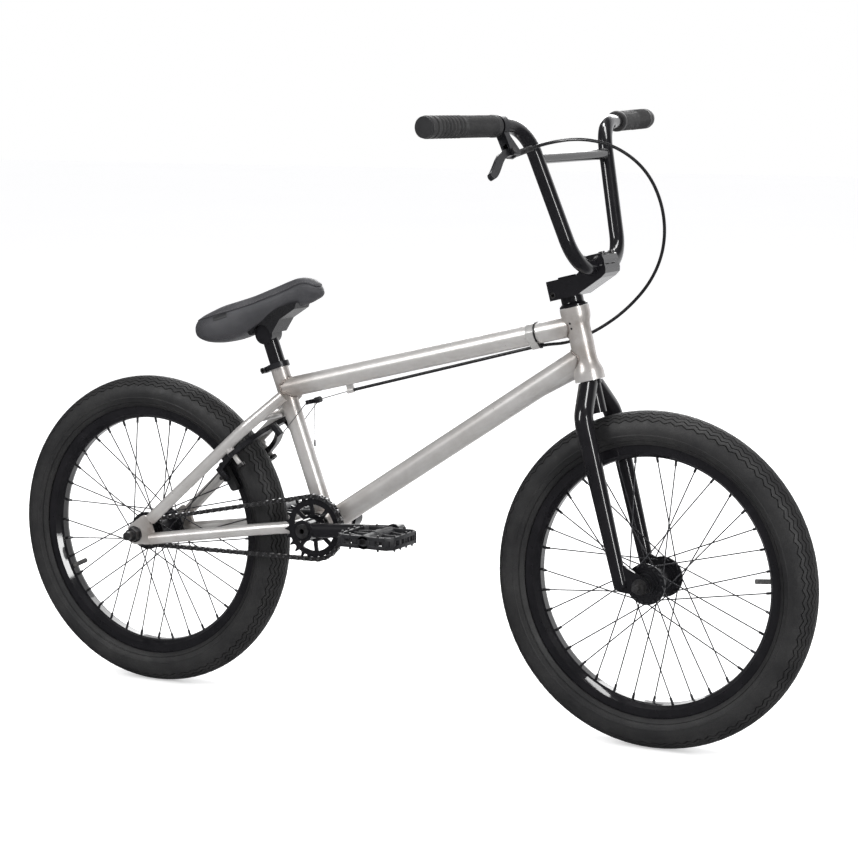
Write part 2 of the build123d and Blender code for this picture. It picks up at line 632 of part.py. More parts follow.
with BuildPart() as stem_cap:
    with BuildSketch(steering_side(stem_side)):
        with BuildLine():
            Polyline(
                (34, STEM_BAR_HEIGHT + STEM_SPLIT),
                (76, STEM_BAR_HEIGHT + STEM_SPLIT),
                (76.5, 473),
                (75, 480),
                (70, 484),
                (46, 484),
                (36, 480),
                (33, 474),
                close=True,
            )
        make_face()
        with Locations((STEM_REACH, STEM_BAR_HEIGHT)):
            Circle(BAR_RADIUS, mode=Mode.SUBTRACT)
    extrude(amount=STEM_WIDTH)
    for ahead in (STEM_REACH - 16.5, STEM_REACH + 16.5):
        for side in (-16.5, 16.5):
            spot = on_steerer(STEM_BAR_HEIGHT, ahead, side)
            with BuildSketch(Plane(origin=spot, x_dir=steer_ahead, z_dir=steer_up)):
                Circle(BOLT_RADIUS)
            extrude(amount=25, mode=Mode.SUBTRACT)
            spot = on_steerer(STEM_BAR_HEIGHT + 15, ahead, side)
            with BuildSketch(Plane(origin=spot, x_dir=steer_ahead, z_dir=steer_up)):
                Circle(BOLT_HEAD_RADIUS)
            extrude(amount=10, mode=Mode.SUBTRACT)
stem_cap.part.label = "stem_cap"
export_step(stem_cap.part, "parts/stem_cap.step")

# Handlebar: one bent tube, mirrored about the middle, with a crossbar welded between the risers.
bar_clamp = on_steerer(STEM_BAR_HEIGHT, STEM_REACH)
bar_up = Vector(-sin(radians(BAR_LEAN)), 0, cos(radians(BAR_LEAN)))


def on_bar(rise, side):
    """Point on the plane that the risers lie in."""
    return bar_clamp + bar_up * rise + left * side


def bar_end(side):
    """End of the bar on one side."""
    return on_bar(BAR_RISE, 0) + Vector(-BAR_BACKSWEEP, side * BAR_WIDTH / 2, BAR_UPSWEEP)


def grip_heading(side):
    """Direction outward along the grip on one side."""
    return (bar_end(side) - on_bar(BAR_RISE, side * BAR_HEAD)).normalized()


with BuildPart() as handlebar:
    with BuildLine() as bar_path:
        FilletPolyline(
            bar_end(-1),
            on_bar(BAR_RISE, -BAR_HEAD),
            on_bar(0, -BAR_FOOT),
            on_bar(0, BAR_FOOT),
            on_bar(BAR_RISE, BAR_HEAD),
            bar_end(1),
            radius=BAR_BEND,
        )
    with BuildSketch(Plane(origin=bar_end(-1), x_dir=up, z_dir=-grip_heading(-1))):
        Circle(BAR_RADIUS)
        Circle(BAR_RADIUS - BAR_WALL, mode=Mode.SUBTRACT)
    sweep(path=bar_path.line)
    crossbar_half = BAR_FOOT + (BAR_HEAD - BAR_FOOT) * CROSSBAR_RISE / BAR_RISE - BAR_RADIUS + 2.0
    with BuildSketch(Plane(origin=on_bar(CROSSBAR_RISE, -crossbar_half), x_dir=up, z_dir=left)):
        Circle(CROSSBAR_RADIUS)
        Circle(CROSSBAR_RADIUS - TUBE_WALL, mode=Mode.SUBTRACT)
    extrude(amount=2 * crossbar_half)
handlebar.part.label = "handlebar"
export_step(handlebar.part, "parts/handlebar.step")

PLUG_RADIUS = 15.0
PLUG_THICKNESS = 4.0
with BuildPart() as grips:
    for side in (-1, 1):
        start = bar_end(side)
        with BuildSketch(Plane(origin=start, x_dir=up, z_dir=-grip_heading(side))):
            Circle(GRIP_RADIUS)
            Circle(BAR_RADIUS, mode=Mode.SUBTRACT)
        extrude(amount=GRIP_LENGTH)
grips.part.label = "grips"
export_step(grips.part, "parts/grips.step")

with BuildPart() as bar_end_plugs:
    for side in (-1, 1):
        start = bar_end(side)
        with BuildSketch(Plane(origin=start, x_dir=up, z_dir=grip_heading(side))):
            Circle(PLUG_RADIUS)
        extrude(amount=PLUG_THICKNESS)
        with BuildSketch(Plane(origin=start, x_dir=up, z_dir=-grip_heading(side))):
            Circle(BAR_RADIUS - BAR_WALL)
        extrude(amount=14)
bar_end_plugs.part.label = "bar_end_plugs"
export_step(bar_end_plugs.part, "parts/bar_end_plugs.step")

# Brake lever on the right: clamp, bracket, adjuster and blade lie in one tilted plane.
LEVER_TILT = 29.0
LEVER_CLAMP_WIDTH = 12.0
LEVER_CLAMP_RADIUS = 15.5
LEVER_CLAMP_ALONG = GRIP_LENGTH + 9.0
LEVER_PIVOT_OUT = 42.0
LEVER_PIVOT_SHIFT = 2.0
lever_along = grip_heading(-1)
lever_out = Vector(sin(radians(LEVER_TILT)), 0, -cos(radians(LEVER_TILT)))
lever_out = (lever_out - lever_along * lever_out.dot(lever_along)).normalized()
lever_normal = lever_along.cross(lever_out).normalized()
lever_clamp = bar_end(-1) - lever_along * LEVER_CLAMP_ALONG
lever_pivot = lever_clamp + lever_out * LEVER_PIVOT_OUT + lever_along * LEVER_PIVOT_SHIFT
LEVER_THICKNESS = 7.0
BRACKET_THICKNESS = 15.0
PIN_RADIUS = 2.5


def lever_plane(offset):
    """Plane of the lever: origin at the clamp, local x outward along the grip, local y to the blade."""
    return Plane(origin=lever_clamp + lever_normal * offset, x_dir=lever_along, z_dir=lever_normal)


pivot_spot = (LEVER_PIVOT_SHIFT, LEVER_PIVOT_OUT)
ADJUSTER_OUT = 44.0
ADJUSTER_START = -14.0
ADJUSTER_LENGTH = 30.0
ADJUSTER_AHEAD = 0.30
ADJUSTER_UP = 0.13
ADJUSTER_RADIUS = 4.5
with BuildPart() as lever_bracket:
    with BuildSketch(Plane(origin=lever_clamp - lever_along * LEVER_CLAMP_WIDTH / 2,
                           x_dir=lever_out, z_dir=lever_along)):
        Circle(LEVER_CLAMP_RADIUS)
        with Locations((LEVER_CLAMP_RADIUS - 2, 0)):
            Rectangle(10, BRACKET_THICKNESS)
        Circle(BAR_RADIUS, mode=Mode.SUBTRACT)
    extrude(amount=LEVER_CLAMP_WIDTH)
    with BuildSketch(lever_plane(-BRACKET_THICKNESS / 2)):
        with Locations((0, LEVER_CLAMP_RADIUS + 5)):
            Circle(6)
        with Locations(pivot_spot):
            Circle(6)
        with Locations((ADJUSTER_START + 4, ADJUSTER_OUT)):
            Circle(5)
        make_hull()
    extrude(amount=BRACKET_THICKNESS)
    # slot that the blade turns in
    with BuildSketch(lever_plane(-LEVER_THICKNESS / 2 - BODY_GAP)):
        with Locations((LEVER_PIVOT_SHIFT + 4, LEVER_PIVOT_OUT)):
            Rectangle(26, 24)
    extrude(amount=LEVER_THICKNESS + 2 * BODY_GAP, mode=Mode.SUBTRACT)
    with BuildSketch(lever_plane(-BRACKET_THICKNESS)):
        with Locations(pivot_spot):
            Circle(PIN_RADIUS)
    extrude(amount=2 * BRACKET_THICKNESS, mode=Mode.SUBTRACT)
lever_bracket.part.label = "lever_bracket"
export_step(lever_bracket.part, "parts/lever_bracket.step")

adjuster_start = lever_clamp + lever_out * ADJUSTER_OUT + lever_along * ADJUSTER_START
adjuster_heading = lever_normal * ADJUSTER_AHEAD - lever_out * ADJUSTER_UP - lever_along
adjuster_heading = adjuster_heading.normalized()
with BuildPart() as lever_hardware:
    with BuildSketch(lever_plane(-BRACKET_THICKNESS / 2 - 1)):
        with Locations(pivot_spot):
            Circle(PIN_RADIUS)
    extrude(amount=BRACKET_THICKNESS + 2)
    with BuildSketch(lever_plane(BRACKET_THICKNESS / 2)):
        with Locations(pivot_spot):
            Circle(PIN_RADIUS + 2)
    extrude(amount=2.5)
    with BuildSketch(Plane(origin=adjuster_start, x_dir=lever_out, z_dir=adjuster_heading)):
        Circle(ADJUSTER_RADIUS)
        Circle(WIRE_RADIUS + 0.3, mode=Mode.SUBTRACT)
    extrude(amount=ADJUSTER_LENGTH)
    add(lever_bracket.part, mode=Mode.SUBTRACT)
lever_hardware.part.label = "lever_hardware"
export_step(lever_hardware.part, "parts/lever_hardware.step")

with BuildPart() as brake_lever_blade:
    with BuildSketch(lever_plane(-LEVER_THICKNESS / 2)):
        with BuildLine():
            Spline(
                (6, LEVER_PIVOT_OUT - 5),
                (24, LEVER_PIVOT_OUT - 1),
                (48, LEVER_PIVOT_OUT + 14),
                (72, LEVER_PIVOT_OUT + 31),
            )
            Line((72, LEVER_PIVOT_OUT + 31), (69, LEVER_PIVOT_OUT + 41))
            Spline(
                (69, LEVER_PIVOT_OUT + 41),
                (42, LEVER_PIVOT_OUT + 24),
                (20, LEVER_PIVOT_OUT + 9),
                (2, LEVER_PIVOT_OUT + 6),
            )
            Line((2, LEVER_PIVOT_OUT + 6), (6, LEVER_PIVOT_OUT - 5))
        make_face()
        with Locations(pivot_spot):
            Circle(6)
        with Locations((70.5, LEVER_PIVOT_OUT + 36)):
            Circle(5.2)
        with Locations(pivot_spot):
            Circle(PIN_RADIUS + RUNNING_CLEARANCE, mode=Mode.SUBTRACT)
    extrude(amount=LEVER_THICKNESS)
brake_lever_blade.part.label = "brake_lever_blade"
export_step(brake_lever_blade.part, "parts/brake_lever_blade.step")

# ---------------------------------------------------------------- wheels
TYRE_CENTRE = TYRE_RADIUS - TYRE_HEIGHT / 2
RIM_HALF = RIM_WIDTH / 2
BEAD_WIDTH = 2.8
BEAD_DEPTH = 7.0
TUBE_SKIN = 1.2
VALVE_RADIUS = 3.8
VALVE_INSIDE = 26.0
NIPPLE_SEAT = RIM_RADIUS - RIM_DEPTH + 2.0
SPOKE_ELBOW = 2.2
FLANGE_THICKNESS = 3.0


def spoke_cross_angle():
    """Angle between a spoke's hub hole and its rim hole, seen along the axle."""
    return 360.0 * SPOKE_CROSSES / (SPOKE_COUNT / 2)


def wheel_point(centre, radius, angle, side):
    """Point at a radius and angle from the axle."""
    return centre + Vector(radius * cos(radians(angle)), side, radius * sin(radians(angle)))


def build_wheel(name, centre, axis, hub):
    """Tyre, tube, rim, spokes, hub shell and bearings of one wheel."""
    section = axle_section(centre)

    with BuildPart() as tyre:
        with BuildSketch(section):
            with Locations((TYRE_CENTRE, 0)):
                Ellipse(TYRE_HEIGHT / 2, TYRE_WIDTH / 2)
                Ellipse(TYRE_HEIGHT / 2 - TYRE_WALL, TYRE_WIDTH / 2 - TYRE_WALL, mode=Mode.SUBTRACT)
            with Locations((RIM_RADIUS - TYRE_HEIGHT, 0)):
                Rectangle(2 * TYRE_HEIGHT, 2 * TYRE_WIDTH, mode=Mode.SUBTRACT)
            for side in (-1, 1):
                bead_side = side * (RIM_HALF - RIM_WALL - BEAD_WIDTH / 2)
                with Locations((RIM_RADIUS + 1.5 - BEAD_DEPTH / 2, bead_side)):
                    Rectangle(BEAD_DEPTH + 3, BEAD_WIDTH)
        revolve(axis=axis)
    tyre.part.label = name + "_tyre"
    export_step(tyre.part, f"parts/{name}_tyre.step")

    spokes_made = []
    for flange in (-1, 1):
        flange_side = hub["flange_left"] if flange > 0 else -hub["flange_right"]
        for pair in range(SPOKE_COUNT // 4):
            for lean in (-1, 1):
                rim_hole = pair * 2 + (0 if lean < 0 else 1)
                angle = (2 * rim_hole + (1 if flange > 0 else 0)) * 360.0 / SPOKE_COUNT
                hub_angle = angle + lean * spoke_cross_angle()
                side = flange_side + flange * lean * (FLANGE_THICKNESS / 2 + SPOKE_ELBOW / 2)
                elbow = wheel_point(centre, hub["spoke_radius"], hub_angle, side)
                seat = wheel_point(centre, NIPPLE_SEAT, angle, flange * 1.5)
                spokes_made.append((elbow, seat, -flange * lean))

    with BuildPart() as spokes:
        pieces = []
        for elbow, seat, towards in spokes_made:
            heading = (seat - elbow).normalized()
            rod_plane = Plane(origin=elbow, x_dir=left, z_dir=heading)
            rod = rod_plane * Pos(0, 0, (seat - elbow).length / 2) * Cylinder(
                SPOKE_RADIUS, (seat - elbow).length, mode=Mode.PRIVATE
            )
            nipple = rod_plane * Pos(0, 0, (seat - elbow).length - NIPPLE_LENGTH / 2 + 2.5) * Cylinder(
                NIPPLE_RADIUS, NIPPLE_LENGTH, mode=Mode.PRIVATE
            )
            bend_length = FLANGE_THICKNESS + SPOKE_ELBOW + 0.6
            bend_plane = Plane(origin=elbow, x_dir=up, z_dir=left * towards)
            bend = bend_plane * Pos(0, 0, bend_length / 2) * Cylinder(
                SPOKE_RADIUS, bend_length, mode=Mode.PRIVATE
            )
            head = bend_plane * Pos(0, 0, bend_length) * Cylinder(
                SPOKE_RADIUS + 0.9, 1.0, mode=Mode.PRIVATE
            )
            pieces.append(rod + nipple + bend + head)
        add(pieces)
    spokes.part.label = name + "_spokes"
    export_step(spokes.part, f"parts/{name}_spokes.step")

    bed = RIM_RADIUS - RIM_DEPTH
    with BuildPart() as rim:
        with BuildSketch(section):
            with BuildLine():
                Polyline(
                    (RIM_RADIUS, RIM_HALF),
                    (RIM_RADIUS - 13, RIM_HALF),
                    (bed + 1.5, 11),
                    (bed, 6),
                    (bed, -6),
                    (bed + 1.5, -11),
                    (RIM_RADIUS - 13, -RIM_HALF),
                    (RIM_RADIUS, -RIM_HALF),
                    (RIM_RADIUS, -RIM_HALF + RIM_WALL),
                    (RIM_RADIUS - 7, -RIM_HALF + RIM_WALL),
                    (RIM_RADIUS - 9, -9),
                    (RIM_RADIUS - 9, 9),
                    (RIM_RADIUS - 7, RIM_HALF - RIM_WALL),
                    (RIM_RADIUS, RIM_HALF - RIM_WALL),
                    close=True,
                )
            make_face()
            with BuildLine():
                Polyline(
                    (RIM_RADIUS - 11, 13),
                    (RIM_RADIUS - 13, 14),
                    (bed + 3.5, 10),
                    (bed + 2.5, 5.5),
                    (bed + 2.5, -5.5),
                    (bed + 3.5, -10),
                    (RIM_RADIUS - 13, -14),
                    (RIM_RADIUS - 11, -13),
                    close=True,
                )
            make_face(mode=Mode.SUBTRACT)
        revolve(axis=axis)
        # the nipples and the valve pass through the rim
        add(spokes.part, mode=Mode.SUBTRACT)
        valve_heading = wheel_point(Vector(0, 0, 0), 1, hub["valve"], 0)
        valve_foot = wheel_point(centre, bed - VALVE_INSIDE, hub["valve"], 0)
        with BuildSketch(Plane(origin=valve_foot, x_dir=left, z_dir=valve_heading)):
            Circle(VALVE_RADIUS + 0.3)
        extrude(amount=VALVE_INSIDE + RIM_DEPTH, mode=Mode.SUBTRACT)
    rim.part.label = name + "_rim"
    export_step(rim.part, f"parts/{name}_rim.step")

    tube_centre = TYRE_CENTRE - 1
    tube_depth = TYRE_HEIGHT / 2 - TYRE_WALL - 2
    tube_half = TYRE_WIDTH / 2 - TYRE_WALL - 7.5
    with BuildPart() as inner_tube:
        with BuildSketch(section):
            with Locations((tube_centre, 0)):
                Ellipse(tube_depth, tube_half)
        revolve(axis=axis)
        with BuildSketch(Plane(origin=valve_foot, x_dir=left, z_dir=valve_heading)):
            Circle(VALVE_RADIUS)
        extrude(amount=tube_centre - tube_depth / 2 - bed + VALVE_INSIDE)
        with BuildSketch(section):
            with Locations((tube_centre, 0)):
                Ellipse(tube_depth - TUBE_SKIN, tube_half - TUBE_SKIN)
        revolve(axis=axis, mode=Mode.SUBTRACT)
    inner_tube.part.label = name + "_inner_tube"
    export_step(inner_tube.part, f"parts/{name}_inner_tube.step")

    with BuildPart() as hub_shell:
        barrel_left = hub["flange_left"] + 10
        barrel_right = hub["flange_right"] + hub["right_nose"]
        with BuildSketch(section):
            with Locations((hub["barrel"] / 2, (barrel_left - barrel_right) / 2)):
                Rectangle(hub["barrel"], barrel_left + barrel_right)
            for flange_side in (hub["flange_left"], -hub["flange_right"]):
                with Locations((hub["flange"] / 2, flange_side)):
                    Rectangle(hub["flange"], FLANGE_THICKNESS)
                with Locations((hub["barrel"] / 2 + 2, flange_side)):
                    Rectangle(hub["barrel"] + 4, FLANGE_THICKNESS + 5)
            with Locations((hub["bore"] / 2, 0)):
                Rectangle(hub["bore"], 2 * REAR_HUB_WIDTH, mode=Mode.SUBTRACT)
        revolve(axis=axis)
        add(spokes.part, mode=Mode.SUBTRACT)
    hub_shell.part.label = name + "_hub_shell"
    export_step(hub_shell.part, f"parts/{name}_hub_shell.step")

    with BuildPart() as hub_bearings:
        for side in (barrel_left - 8, -barrel_right):
            with BuildSketch(Plane(origin=centre + left * side, x_dir=up, z_dir=left)):
                Circle(hub["bore"])
                Circle(hub["axle"] + RUNNING_CLEARANCE, mode=Mode.SUBTRACT)
            extrude(amount=8)
    hub_bearings.part.label = name + "_hub_bearings"
    export_step(hub_bearings.part, f"parts/{name}_hub_bearings.step")


front_hub = {
    "valve": 5.0,
    "flange_left": 33.0,
    "flange_right": 33.0,
    "right_nose": 10.0,
    "flange": 31.0,
    "spoke_radius": 27.0,
    "barrel": 17.0,
    "bore": 13.0,
    "axle": FRONT_AXLE_RADIUS,
}
rear_hub = {
    "valve": 205.0,
    "flange_left": 33.0,
    "flange_right": 25.0,
    "right_nose": 8.0,
    "flange": 31.0,
    "spoke_radius": 27.0,
    "barrel": 18.0,
    "bore": 14.0,
    "axle": REAR_AXLE_RADIUS,
}
build_wheel("front", front_axle_point, front_axis, front_hub)
build_wheel("rear", rear_axle_point, rear_axis, rear_hub)

WASHER_THICKNESS = 2.0
NUT_THICKNESS = 9.0
with BuildPart() as front_axle:
    with BuildSketch(side_plane(front_axle_point, FRONT_AXLE_LENGTH / 2)):
        Circle(FRONT_AXLE_RADIUS)
    extrude(amount=FRONT_AXLE_LENGTH)
    for side in (-1, 1):
        cone_start = side * (front_hub["flange_left"] + front_hub["right_nose"] + HUB_END_GAP)
        cone_length = FRONT_HUB_WIDTH / 2 - abs(cone_start)
        with BuildSketch(Plane(origin=front_axle_point + left * cone_start, x_dir=up, z_dir=left * side)):
            Circle(FRONT_AXLE_RADIUS + 4)
        extrude(amount=cone_length)
        washer_start = side * (FRONT_HUB_WIDTH / 2 + FRONT_DROPOUT)
        with BuildSketch(Plane(origin=front_axle_point + left * washer_start, x_dir=up, z_dir=left * side)):
            Circle(12.0)
        extrude(amount=WASHER_THICKNESS)
        nut_start = washer_start + side * WASHER_THICKNESS
        with BuildSketch(Plane(origin=front_axle_point + left * nut_start, x_dir=up, z_dir=left * side)):
            RegularPolygon(8.6, 6, major_radius=False)
        extrude(amount=NUT_THICKNESS)
front_axle.part.label = "front_axle"
export_step(front_axle.part, "parts/front_axle.step")

DRIVER_LENGTH = 16.0
driver_start = rear_hub["flange_right"] + rear_hub["right_nose"] + HUB_END_GAP
with BuildPart() as rear_axle:
    with BuildSketch(side_plane(rear_axle_point, REAR_AXLE_LENGTH / 2)):
        Circle(REAR_AXLE_RADIUS)
    extrude(amount=REAR_AXLE_LENGTH)
    cone_starts = {
        1: rear_hub["flange_left"] + 10 + HUB_END_GAP,
        -1: driver_start + DRIVER_LENGTH + HUB_END_GAP,
    }
    for side in (-1, 1):
        cone_start = side * cone_starts[side]
        with BuildSketch(Plane(origin=rear_axle_point + left * cone_start, x_dir=up, z_dir=left * side)):
            Circle(REAR_AXLE_RADIUS + 3.5)
        extrude(amount=REAR_HUB_WIDTH / 2 - abs(cone_start))
        washer_start = side * (REAR_HUB_WIDTH / 2 + REAR_DROPOUT)
        with BuildSketch(Plane(origin=rear_axle_point + left * washer_start, x_dir=up, z_dir=left * side)):
            Circle(13.5)
        extrude(amount=WASHER_THICKNESS)
        nut_start = washer_start + side * WASHER_THICKNESS
        with BuildSketch(Plane(origin=rear_axle_point + left * nut_start, x_dir=up, z_dir=left * side)):
            RegularPolygon(10.5, 6, major_radius=False)
        extrude(amount=NUT_THICKNESS)
rear_axle.part.label = "rear_axle"
export_step(rear_axle.part, "parts/rear_axle.step")

# ---------------------------------------------------------------- drive
ROLLER_RADIUS = 3.85
PLATE_HALF_HEIGHT = 4.1
PLATE_THICKNESS = 1.4
PLATE_INSIDE = 2.4
TOOTH_THICKNESS = 3.0
drive_plane_chain = Plane(
    origin=rear_axle_point - left * CHAIN_LINE, x_dir=drive_line, z_dir=-left
)


def tooth_ring(teeth, radius, phase):
    """Toothed disc outline: a root disc with one tapered tooth between each pair of rollers."""
    Circle(radius - ROLLER_RADIUS - 0.6)
    for index in range(teeth):
        angle = phase + (index + 0.5) * 360.0 / teeth
        with Locations(Rot(0, 0, angle)):
            with BuildLine(mode=Mode.PRIVATE) as tooth:
                Polyline(
                    (radius - 7.0, -4.4),
                    (radius - 5.0, -4.2),
                    (radius - 2.5, -2.5),
                    (radius, -1.8),
                    (radius + 3.0, -0.8),
                    (radius + 3.0, 0.8),
                    (radius, 1.8),
                    (radius - 2.5, 2.5),
                    (radius - 5.0, 4.2),
                    (radius - 7.0, 4.4),
                    close=True,
                )
            add(make_face(tooth.edges(), mode=Mode.PRIVATE))


def chain_rollers():
    """Places of the chain's rollers in the drive plane, going once round the loop."""
    spots = []
    steps = round(sprocket_wrap / sprocket_step)
    for index in range(-steps, steps + 1):
        angle = index * sprocket_step
        spots.append(
            (centre_distance + sprocket_pitch_radius * cos(angle), sprocket_pitch_radius * sin(angle))
        )
    steps = round(driver_wrap / driver_step)
    for index in range(-steps, steps + 1):
        angle = pi + index * driver_step
        spots.append((driver_pitch_radius * cos(angle), driver_pitch_radius * sin(angle)))
    for side in (-1, 1):
        front = (
            centre_distance + sprocket_pitch_radius * cos(sprocket_wrap),
            side * sprocket_pitch_radius * sin(sprocket_wrap),
        )
        rear = (
            -driver_pitch_radius * cos(driver_wrap),
            side * driver_pitch_radius * sin(driver_wrap),
        )
        for index in range(1, CHAIN_RUN_LINKS):
            share = index / CHAIN_RUN_LINKS
            spots.append(
                (front[0] + (rear[0] - front[0]) * share, front[1] + (rear[1] - front[1]) * share)
            )
    return spots


with BuildPart() as chain:
    for inside in (-PLATE_INSIDE - PLATE_THICKNESS, PLATE_INSIDE):
        with BuildSketch(drive_plane_chain.offset(inside)):
            with Locations((centre_distance, 0)):
                Circle(sprocket_pitch_radius + PLATE_HALF_HEIGHT)
            Circle(driver_pitch_radius + PLATE_HALF_HEIGHT)
            make_hull()
            with BuildSketch(mode=Mode.SUBTRACT):
                with Locations((centre_distance, 0)):
                    Circle(sprocket_pitch_radius - PLATE_HALF_HEIGHT)
                Circle(driver_pitch_radius - PLATE_HALF_HEIGHT)
                make_hull()
        extrude(amount=PLATE_THICKNESS)
    with BuildSketch(drive_plane_chain.offset(-PLATE_INSIDE)):
        with Locations(chain_rollers()):
            Circle(ROLLER_RADIUS)
    extrude(amount=2 * PLATE_INSIDE)
chain.part.label = "chain"
export_step(chain.part, "parts/chain.step")

SPROCKET_BORE = SPINDLE_RADIUS
WINDOW_COUNT = 8
WINDOW_INNER = 22.0
WINDOW_OUTER = 37.0
WINDOW_SPOKE = 6.5
drive_plane_sprocket = Plane(
    origin=bracket_point - left * CHAIN_LINE, x_dir=drive_line, z_dir=-left
)
with BuildPart() as sprocket:
    with BuildSketch(drive_plane_sprocket.offset(-TOOTH_THICKNESS / 2)):
        tooth_ring(SPROCKET_TEETH, sprocket_pitch_radius, 0.0)
        with BuildSketch(mode=Mode.SUBTRACT):
            Circle(WINDOW_OUTER)
            Circle(WINDOW_INNER, mode=Mode.SUBTRACT)
            with PolarLocations(0, WINDOW_COUNT):
                with Locations((WINDOW_OUTER / 2 + 5, 0)):
                    Rectangle(WINDOW_OUTER + 10, WINDOW_SPOKE, mode=Mode.SUBTRACT)
        Circle(SPROCKET_BORE, mode=Mode.SUBTRACT)
    extrude(amount=TOOTH_THICKNESS)
sprocket.part.label = "sprocket"
export_step(sprocket.part, "parts/sprocket.step")

drive_plane_driver = Plane(origin=rear_axle_point, x_dir=drive_line, z_dir=-left)
with BuildPart() as driver_cog:
    with BuildSketch(drive_plane_driver.offset(CHAIN_LINE - TOOTH_THICKNESS / 2)):
        tooth_ring(DRIVER_TEETH, driver_pitch_radius, 180.0)
    extrude(amount=TOOTH_THICKNESS)
    with BuildSketch(drive_plane_driver.offset(driver_start)):
        Circle(driver_pitch_radius - ROLLER_RADIUS - 1.6)
    extrude(amount=DRIVER_LENGTH)
    with BuildSketch(drive_plane_driver):
        Circle(REAR_AXLE_RADIUS + RUNNING_CLEARANCE)
    extrude(amount=REAR_HUB_WIDTH / 2, mode=Mode.SUBTRACT)
driver_cog.part.label = "driver_cog"
export_step(driver_cog.part, "parts/driver_cog.step")

BRACKET_BEARING_WIDTH = 9.0
CUP_WIDTH = 3.0
with BuildPart() as bottom_bracket_bearings:
    for side in (-1, 1):
        inside = side * (SHELL_WIDTH / 2 - BRACKET_BEARING_WIDTH)
        with BuildSketch(Plane(origin=bracket_point + left * inside, x_dir=up, z_dir=left * side)):
            Circle(shell_inner_radius)
            Circle(SPINDLE_RADIUS + RUNNING_CLEARANCE, mode=Mode.SUBTRACT)
        extrude(amount=BRACKET_BEARING_WIDTH)
        face = side * SHELL_WIDTH / 2
        with BuildSketch(Plane(origin=bracket_point + left * face, x_dir=up, z_dir=left * side)):
            Circle(SHELL_RADIUS - 0.5)
            Circle(SPINDLE_RADIUS + RUNNING_CLEARANCE, mode=Mode.SUBTRACT)
        extrude(amount=CUP_WIDTH)
bottom_bracket_bearings.part.label = "bottom_bracket_bearings"
export_step(bottom_bracket_bearings.part, "parts/bottom_bracket_bearings.step")

ARM_BOSS_RADIUS = 17.5
ARM_BOSS_INSIDE = 57.0
ARM_BOSS_OUTSIDE = 79.0
ARM_TUBE_RADIUS = 12.0
ARM_END_RADIUS = 13.5
ARM_END_INSIDE = 72.0
ARM_END_OUTSIDE = 90.0
PEDAL_SPINDLE_RADIUS = 6.0
PEDAL_FLANGE_RADIUS = 8.5
PEDAL_FLANGE = 5.0
PEDAL_LENGTH = 96.0
PEDAL_WIDTH = 88.0
PEDAL_THICKNESS = 19.0
PEDAL_START = ARM_END_OUTSIDE + PEDAL_FLANGE + HUB_END_GAP
PEDAL_BORE = PEDAL_WIDTH - 4
PEDAL_PIN_HEIGHT = 3.5
crank_along = Vector(cos(radians(CRANK_ANGLE)), 0, sin(radians(CRANK_ANGLE)))


def pedal_point(side, out):
    """Point on a pedal spindle; side is -1 for the right arm, which points forward."""
    return bracket_point + crank_along * (-side * CRANK_LENGTH) + left * side * out


with BuildPart() as crank_spindle:
    with BuildSketch(side_plane(bracket_point, ARM_BOSS_OUTSIDE - 1)):
        Circle(SPINDLE_RADIUS)
    extrude(amount=2 * (ARM_BOSS_OUTSIDE - 1))
    # spacers between the bearings, the sprocket and the arms
    spacer_edges = (
        (-SHELL_WIDTH / 2 - CUP_WIDTH - HUB_END_GAP, -CHAIN_LINE + TOOTH_THICKNESS / 2),
        (-CHAIN_LINE - TOOTH_THICKNESS / 2, -ARM_BOSS_INSIDE),
        (SHELL_WIDTH / 2 + CUP_WIDTH + HUB_END_GAP, ARM_BOSS_INSIDE),
    )
    for start, end in spacer_edges:
        heading = 1 if end > start else -1
        with BuildSketch(Plane(origin=bracket_point + left * start, x_dir=up, z_dir=left * heading)):
            Circle(SPINDLE_RADIUS + 4)
        extrude(amount=abs(end - start))
    with BuildSketch(side_plane(bracket_point, ARM_BOSS_OUTSIDE)):
        Circle(SPINDLE_RADIUS - 4)
    extrude(amount=2 * ARM_BOSS_OUTSIDE, mode=Mode.SUBTRACT)
crank_spindle.part.label = "crank_spindle"
export_step(crank_spindle.part, "parts/crank_spindle.step")

with BuildPart() as pedal_spindles:
    for side in (-1, 1):
        with BuildSketch(Plane(origin=pedal_point(side, ARM_END_INSIDE), x_dir=up, z_dir=left * side)):
            Circle(PEDAL_SPINDLE_RADIUS + 1)
        extrude(amount=ARM_END_OUTSIDE - ARM_END_INSIDE)
        with BuildSketch(Plane(origin=pedal_point(side, ARM_END_OUTSIDE), x_dir=up, z_dir=left * side)):
            Circle(PEDAL_FLANGE_RADIUS)
        extrude(amount=PEDAL_FLANGE)
        with BuildSketch(Plane(origin=pedal_point(side, ARM_END_OUTSIDE), x_dir=up, z_dir=left * side)):
            Circle(PEDAL_SPINDLE_RADIUS)
        extrude(amount=PEDAL_START + PEDAL_BORE - ARM_END_OUTSIDE - HUB_END_GAP)
pedal_spindles.part.label = "pedal_spindles"
export_step(pedal_spindles.part, "parts/pedal_spindles.step")

with BuildPart() as crank_bolts:
    for side in (-1, 1):
        start = bracket_point + left * side * (ARM_BOSS_OUTSIDE - 1)
        with BuildSketch(Plane(origin=start, x_dir=up, z_dir=left * side)):
            Circle(11.5)
            RegularPolygon(4.6, 6, mode=Mode.SUBTRACT)
        extrude(amount=4)
    # bolt that keys the sprocket to the right arm
    spot = bracket_point + crank_along * 29 - left * (CHAIN_LINE + TOOTH_THICKNESS / 2)
    with BuildSketch(Plane(origin=spot, x_dir=up, z_dir=-left)):
        Circle(4.0)
    extrude(amount=ARM_BOSS_INSIDE - CHAIN_LINE + TOOTH_THICKNESS)
crank_bolts.part.label = "crank_bolts"
export_step(crank_bolts.part, "parts/crank_bolts.step")

